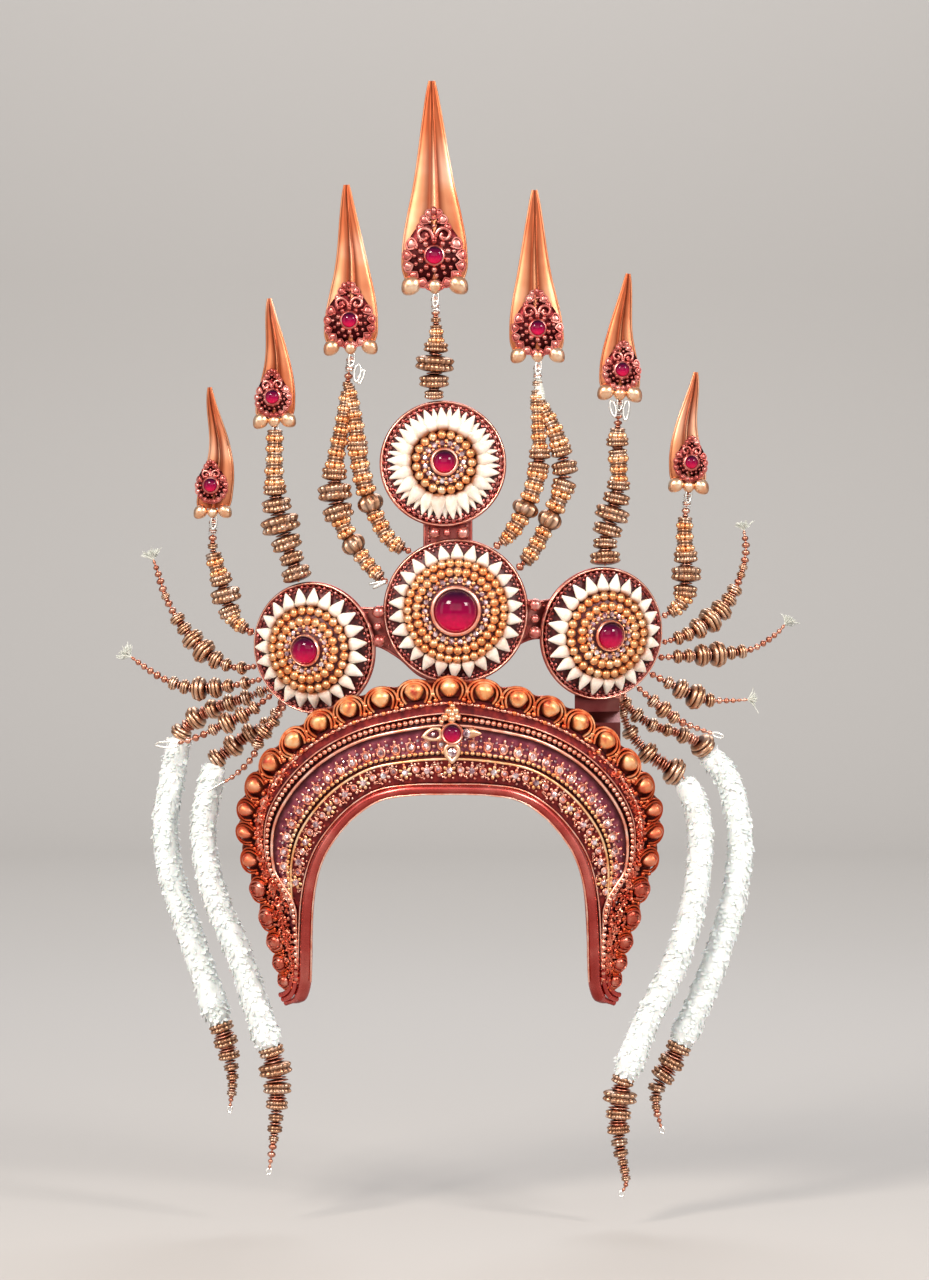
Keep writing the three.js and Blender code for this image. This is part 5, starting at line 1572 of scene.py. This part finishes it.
def makeStrand(name, routes, node, clusters=False, bare=0, flat=False):
    brass, brown, gilt = [], [], []
    for seed, (route, beads) in enumerate(routes):
        made = strandMeshes(route, beads, clusters, bare, seed + 3, flat)
        brass += made[0]
        brown += made[1]
        gilt += made[2]
    makePiece(name + "_beads", brass, antiqueBrass, [node])
    makePiece(name + "_spacers", brown, brownCopperBead)
    if gilt:
        makePiece(name + "_clusters", gilt, giltBead)
    return made[3]


fray = {"hairs": 140, "thickness": 0.26, "spread": 0.4, "curl": 0.25}


def tuft(end, ahead, length, seed):
    # frayed thread: fine hairs that spread and curl
    draw = np.random.default_rng(seed)
    side = squareTo(ahead)
    over = np.cross(ahead, side)
    hairs = []
    for hair in range(fray["hairs"]):
        lean = draw.normal(0, fray["spread"], 2)
        reach = length * draw.uniform(0.45, 0.95)
        share = np.linspace(0, 1, 6)[:, None]
        bend = side * lean[0] + over * lean[1]
        curl = side * draw.normal(0, fray["curl"]) + over * draw.normal(0, fray["curl"])
        hairs.append(end + reach * (ahead * share + bend * share ** 1.4 + curl * share ** 3))
    return drawWires(threadEnd, hairs, fray["thickness"], 3)


def wireLoop(at, along, side, length, width):
    angles = np.linspace(0, 2 * math.pi, 25)[:-1]
    along, side = unit(along), unit(side)
    return np.array([at + along * length * (0.5 - 0.5 * math.cos(a)) + side * 0.5 * width * math.sin(a)
                     for a in angles])


stemWires = {"wrapRadius": 2.3, "wrapLength": 8, "wrapTurns": 7, "wrapWire": 0.32, "loopWire": 0.55,
             "loopDrop": (0, -1.6, -6), "spareWire": 0.68}
spareLoops = [
    # middle, direction, length, width
    ((-52.4, 8, 232), (0.12, 0, 1), 9.5, 3.6), ((-50.8, 8.5, 231), (0.3, 0, 1), 8, 2.6),
    ((99.2, 19, 211), (0.1, 0, 1), 11, 3), ((93.2, 19, 213), (-0.2, 0, 1), 9, 3),
    ((-36, 8, 120), (-1, 0.1, -0.2), 9, 1.8), ((-36, 8, 119.4), (-1, 0.1, -0.5), 7.5, 1.6),
]
# thread bound round the foot of the fifth blade
threadWrap = {"route": [(50.6, 11.4, 222), (50.4, 11.3, 228), (49.8, 11, 234.5)], "radii": [3.2, 3.3, 1.5],
              "ridge": 0.07}


def makeStems():
    loops, wraps = [], []
    for index, strands in enumerate(stems):
        routes = []
        for strand in strands:
            end = strand.get("end", blades[index]["base"])
            points = [rimPoint(strand["disc"], strand["angle"])] + list(strand["points"]) + [end]
            routes.append((curvePoints(points, 16), strand["beads"]))
        name = "stem_" + str(index + 1)
        makeStrand(name, routes, name, True)
        route = routes[0][0]
        turns = np.linspace(0, 1, 90)
        low = routeLength(route) - 1 - stemWires["wrapLength"]
        points, ahead = alongRoute(route, low + stemWires["wrapLength"] * turns)
        side = squareTo(ahead)
        over = np.cross(ahead, side)
        turn = (turns * stemWires["wrapTurns"] * 2 * math.pi)[:, None]
        wraps.append(points + stemWires["wrapRadius"] * (side * np.cos(turn) + over * np.sin(turn)))
        foot = np.array(blades[index]["base"], float) + stemWires["loopDrop"]
        loops.append(wireLoop(foot, (0.1, 0, 1), (1, 0.2, 0), 8, 3.2))
    makePiece("stem_wires", [drawWires(silverWire, wraps, stemWires["wrapWire"], 6),
                             drawWires(silverWire, loops, stemWires["loopWire"], rings=True)], silverWire)
    spare = [wireLoop(np.array(at, float), along, (1, 0, 0.1), length, width)
             for at, along, length, width in spareLoops]
    makePiece("wire_loops", [drawWires(silverWire, spare, stemWires["spareWire"], rings=True)], silverWire)
    route = curvePoints(threadWrap["route"], 12)
    radius = np.interp(np.linspace(0, 1, len(route)), [0, 0.2, 1], threadWrap["radii"])
    ridged = radius * (1 + threadWrap["ridge"] * np.sin(np.arange(len(route)) * 2.2))
    makePiece("thread_wrap", [drawWires(threadEnd, [route], [ridged], 14)], threadEnd)


endWires = {"inset": 0.6, "wire": 0.6}


def makeSideStrands():
    ends, pins, hairs = [], [], []
    for seed, (name, strand) in enumerate(sideStrands.items()):
        points = [rimPoint(strand["disc"], strand["angle"])] + list(strand["points"])
        route = curvePoints(points, 16)
        bare = makeStrand(name, [(route, strand["beads"])], name, bare=strand.get("bare", 0))
        end, ahead = alongRoute(route, routeLength(route) - endWires["inset"])
        if "tuft" in strand:
            hairs.append(tuft(end, ahead, strand["tuft"], seed + 20))
        if "loop" in strand:
            ends.append(wireLoop(end - ahead * bare, ahead, squareTo(ahead, upward), bare, strand["loop"]))
        elif bare:
            pins.append([end - ahead * bare, end])
    makePiece("frayed_ends", hairs, threadEnd)
    makePiece("strand_loops", [drawWires(silverWire, ends, endWires["wire"], rings=True),
                               drawWires(silverWire, pins, endWires["wire"])], silverWire)


def beyond(end, inner, distance):
    return end + unit(end - inner) * distance


finialLoop = {"inset": 0.5, "length": 3.6, "width": 2.6, "wire": 0.4}


def makeHangings():
    loops = []
    for name, parts in garlands.items():
        garland = np.array(parts["garland"], float)
        above = list(parts["hanger"])
        above += [beyond(garland[0], garland[1], away) for away in (beading["straight"], beading["seat"])]
        below = [beyond(garland[-1], garland[-2], away) for away in (beading["seat"], beading["straight"])]
        below += list(parts["finial"])
        makeStrand("hanger_" + name, [(curvePoints(above, 16), parts["hangerBeads"])], "hanger_" + name)
        route = curvePoints(below, 16)
        makeStrand("finial_" + name, [(route, parts["finialBeads"])], "finial_" + name, flat=True)
        end, ahead = alongRoute(route, routeLength(route) - finialLoop["inset"])
        side = squareTo(ahead, (1, 0, 0))
        loops.append(wireLoop(end, ahead, side, finialLoop["length"], finialLoop["width"]))
    makePiece("finial_loops", [drawWires(silverWire, loops, finialLoop["wire"], 6, True)], silverWire)


makeStems()
makeSideStrands()
makeHangings()
print("strands ready")


# Garlands of white chenille

chenilleSizes = {"core": 7.3, "middle": 7.1, "perMillimetre": 5.2, "width": 3.2, "thick": 1.3, "length": 4.4,
                 "uneven": 0.3, "tilt": 0.3, "overlap": 3.2, "shift": 0.6, "twist": 0.3, "sway": 0.6,
                 "lean": (0.3, 0.9), "spread": (0.92, 1.06), "backward": (4, -0.5), "forward": 0.75}
goldenTurn = 2.39996  # radians from one tuft to the next
# how full the garland is along its length
chenilleFullness = [(0, 0.6), (0.014, 0.84), (0.05, 0.96), (0.6, 1.0), (0.9, 1.02), (0.95, 1.14),
                    (0.98, 0.92), (1, 0.6)]


def makeGarland(name, points, seed):
    # uneven tufts round a padded core, their tips outward and toward the finial
    draw = np.random.default_rng(seed)
    points = np.array(points, float)
    top, foot = (beyond(points[a], points[b], chenilleSizes["overlap"]) for a, b in ((0, 1), (-1, -2)))
    route = curvePoints(np.vstack([top, points[1:-1], foot]), 24)
    length = routeLength(route)
    count = int(length * chenilleSizes["perMillimetre"])
    shift, twist, sway = (chenilleSizes[name] for name in ("shift", "twist", "sway"))
    places = np.linspace(0.8, length - 1.0, count) + draw.uniform(-shift, shift, count)
    turn = (np.arange(count) * goldenTurn + draw.uniform(-twist, twist, count))[:, None]
    full = np.interp(places / length, *zip(*chenilleFullness))[:, None]
    full = full * draw.uniform(*chenilleSizes["spread"], (count, 1))
    spots, ahead = alongRoute(route, places)
    side = squareTo(ahead)
    over = np.cross(ahead, side)
    out = side * np.cos(turn) + over * np.sin(turn)
    lean = draw.uniform(*chenilleSizes["lean"], (count, 1))
    slant = draw.uniform(-sway, sway, (count, 1))
    rootLength, backward = chenilleSizes["backward"]
    onward = np.where(places < rootLength, backward, chenilleSizes["forward"])[:, None]
    directions = unit(lean * out + onward * ahead + slant * np.cross(ahead, out))
    sizes = np.array([chenilleSizes[side] for side in ("width", "thick", "length")])
    sizes = sizes * (1 + chenilleSizes["uneven"] * draw.uniform(-1, 1, (count, 1)))
    petals = setShapes(fluff, chenille, spots + out * chenilleSizes["middle"] * full, directions, out, sizes,
                       chenilleSizes["tilt"], seed)
    core = drawWires(chenille, [route], [chenilleSizes["core"] * np.interp(np.linspace(0, 1, len(route)),
                                                                          *zip(*chenilleFullness))], 16)
    makePiece("garland_" + name + "_petals", [petals, core], chenille, ["garland_" + name])


for garlandSeed, (garlandName, garlandParts) in enumerate(garlands.items()):
    makeGarland(garlandName, garlandParts["garland"], garlandSeed + 40)
print("garlands ready")


# Stage, light and camera

studio = {"floorDrop": 20, "floorSize": 12.0, "floorFar": 4.0, "world": 0.42, "camera": (8.4, -2200, 86.8),
          "lens": 110.49, "aim": (0, 0, 0.08)}
lamps = [
    # name, place, aim, size, power and tint
    ("keyLeft", (-1.0, -1.6, 1.3), studio["aim"], (0.6, 0.45), 46, "FFF6EC"),
    ("keyRight", (1.3, -1.3, 1.0), studio["aim"], (0.5, 0.4), 26, "FFF8F2"),
    ("frontPanel", (0.0, -3.0, 0.9), studio["aim"], (2.4, 1.4), 16, "FFFFFF"),
    ("stripLeft", (-2.1, -1.1, 0.5), studio["aim"], (0.7, 2.0), 8, "FFFFFF"),
    ("stripRight", (2.1, -1.1, 0.5), studio["aim"], (0.7, 2.0), 7, "FFFFFF"),
    ("wallWash", (0, 2.4, 3.2), (0, 5, 0.6), (4.0, 0.8), 110, "FFFFFF"),
    ("backRim", (0.2, 1.4, 1.6), studio["aim"], (1.4, 0.7), 16, "F4F8FF"),
]


def makeFloor():
    # level under the crown, then curving up far behind it
    low = cadBounds[0][2] - studio["floorDrop"] * mm
    half, far = studio["floorSize"] / 2, studio["floorFar"]
    profile = [(-half, 0), (far, 0)] + [(far + math.sin(a), 1 - math.cos(a))
                                        for a in np.linspace(0.1, math.pi / 2, 14)] + [(far + 1, 5)]
    mesh = bpy.data.meshes.new("floor")
    mesh.from_pydata([(x, y, low + z) for y, z in profile for x in (-half, half)], [],
                     [(at, at + 1, at + 3, at + 2) for at in range(0, 2 * len(profile) - 2, 2)])
    mesh.shade_smooth()
    # matt painted board, pale warm grey
    mesh.materials.append(newFinish("palePaint", {"Base Color": linear("B6B2AE"), "Roughness": 0.8})[0])
    floor = bpy.data.objects.new("floor", mesh)
    bpy.context.scene.collection.objects.link(floor)


def softLight(name, place, aim, size, power, tint):
    light = bpy.data.lights.new(name, "AREA")
    light.shape = "RECTANGLE"
    light.size, light.size_y = size
    light.energy = power
    light.color = linear(tint)[:3]
    lamp = bpy.data.objects.new(name, light)
    lamp.location = place
    lamp.rotation_euler = (Vector(aim) - Vector(place)).to_track_quat("-Z", "Y").to_euler()
    bpy.context.scene.collection.objects.link(lamp)


def makeLight():
    world = bpy.data.worlds.new("studioWorld")
    world.use_nodes = True
    background = world.node_tree.nodes["Background"]
    background.inputs["Color"].default_value = linear("F2F2F4")
    background.inputs["Strength"].default_value = studio["world"]
    bpy.context.scene.world = world
    for lamp in lamps:
        softLight(*lamp)


def makeCamera():
    camera = bpy.data.cameras.new("camera")
    camera.lens = studio["lens"]
    camera.sensor_width = 36
    camera.clip_start = 0.05
    view = bpy.data.objects.new("camera", camera)
    view.location = [part * mm for part in studio["camera"]]
    view.rotation_euler = (math.pi / 2, 0, 0)
    bpy.context.scene.collection.objects.link(view)
    bpy.context.scene.camera = view


makeFloor()
makeLight()
makeCamera()
bpy.context.scene.view_settings.view_transform = "Standard"
for shapeObject in [thing for thing in bpy.data.objects if thing.name.startswith("shape")]:
    bpy.data.objects.remove(shapeObject)
print("stage ready")
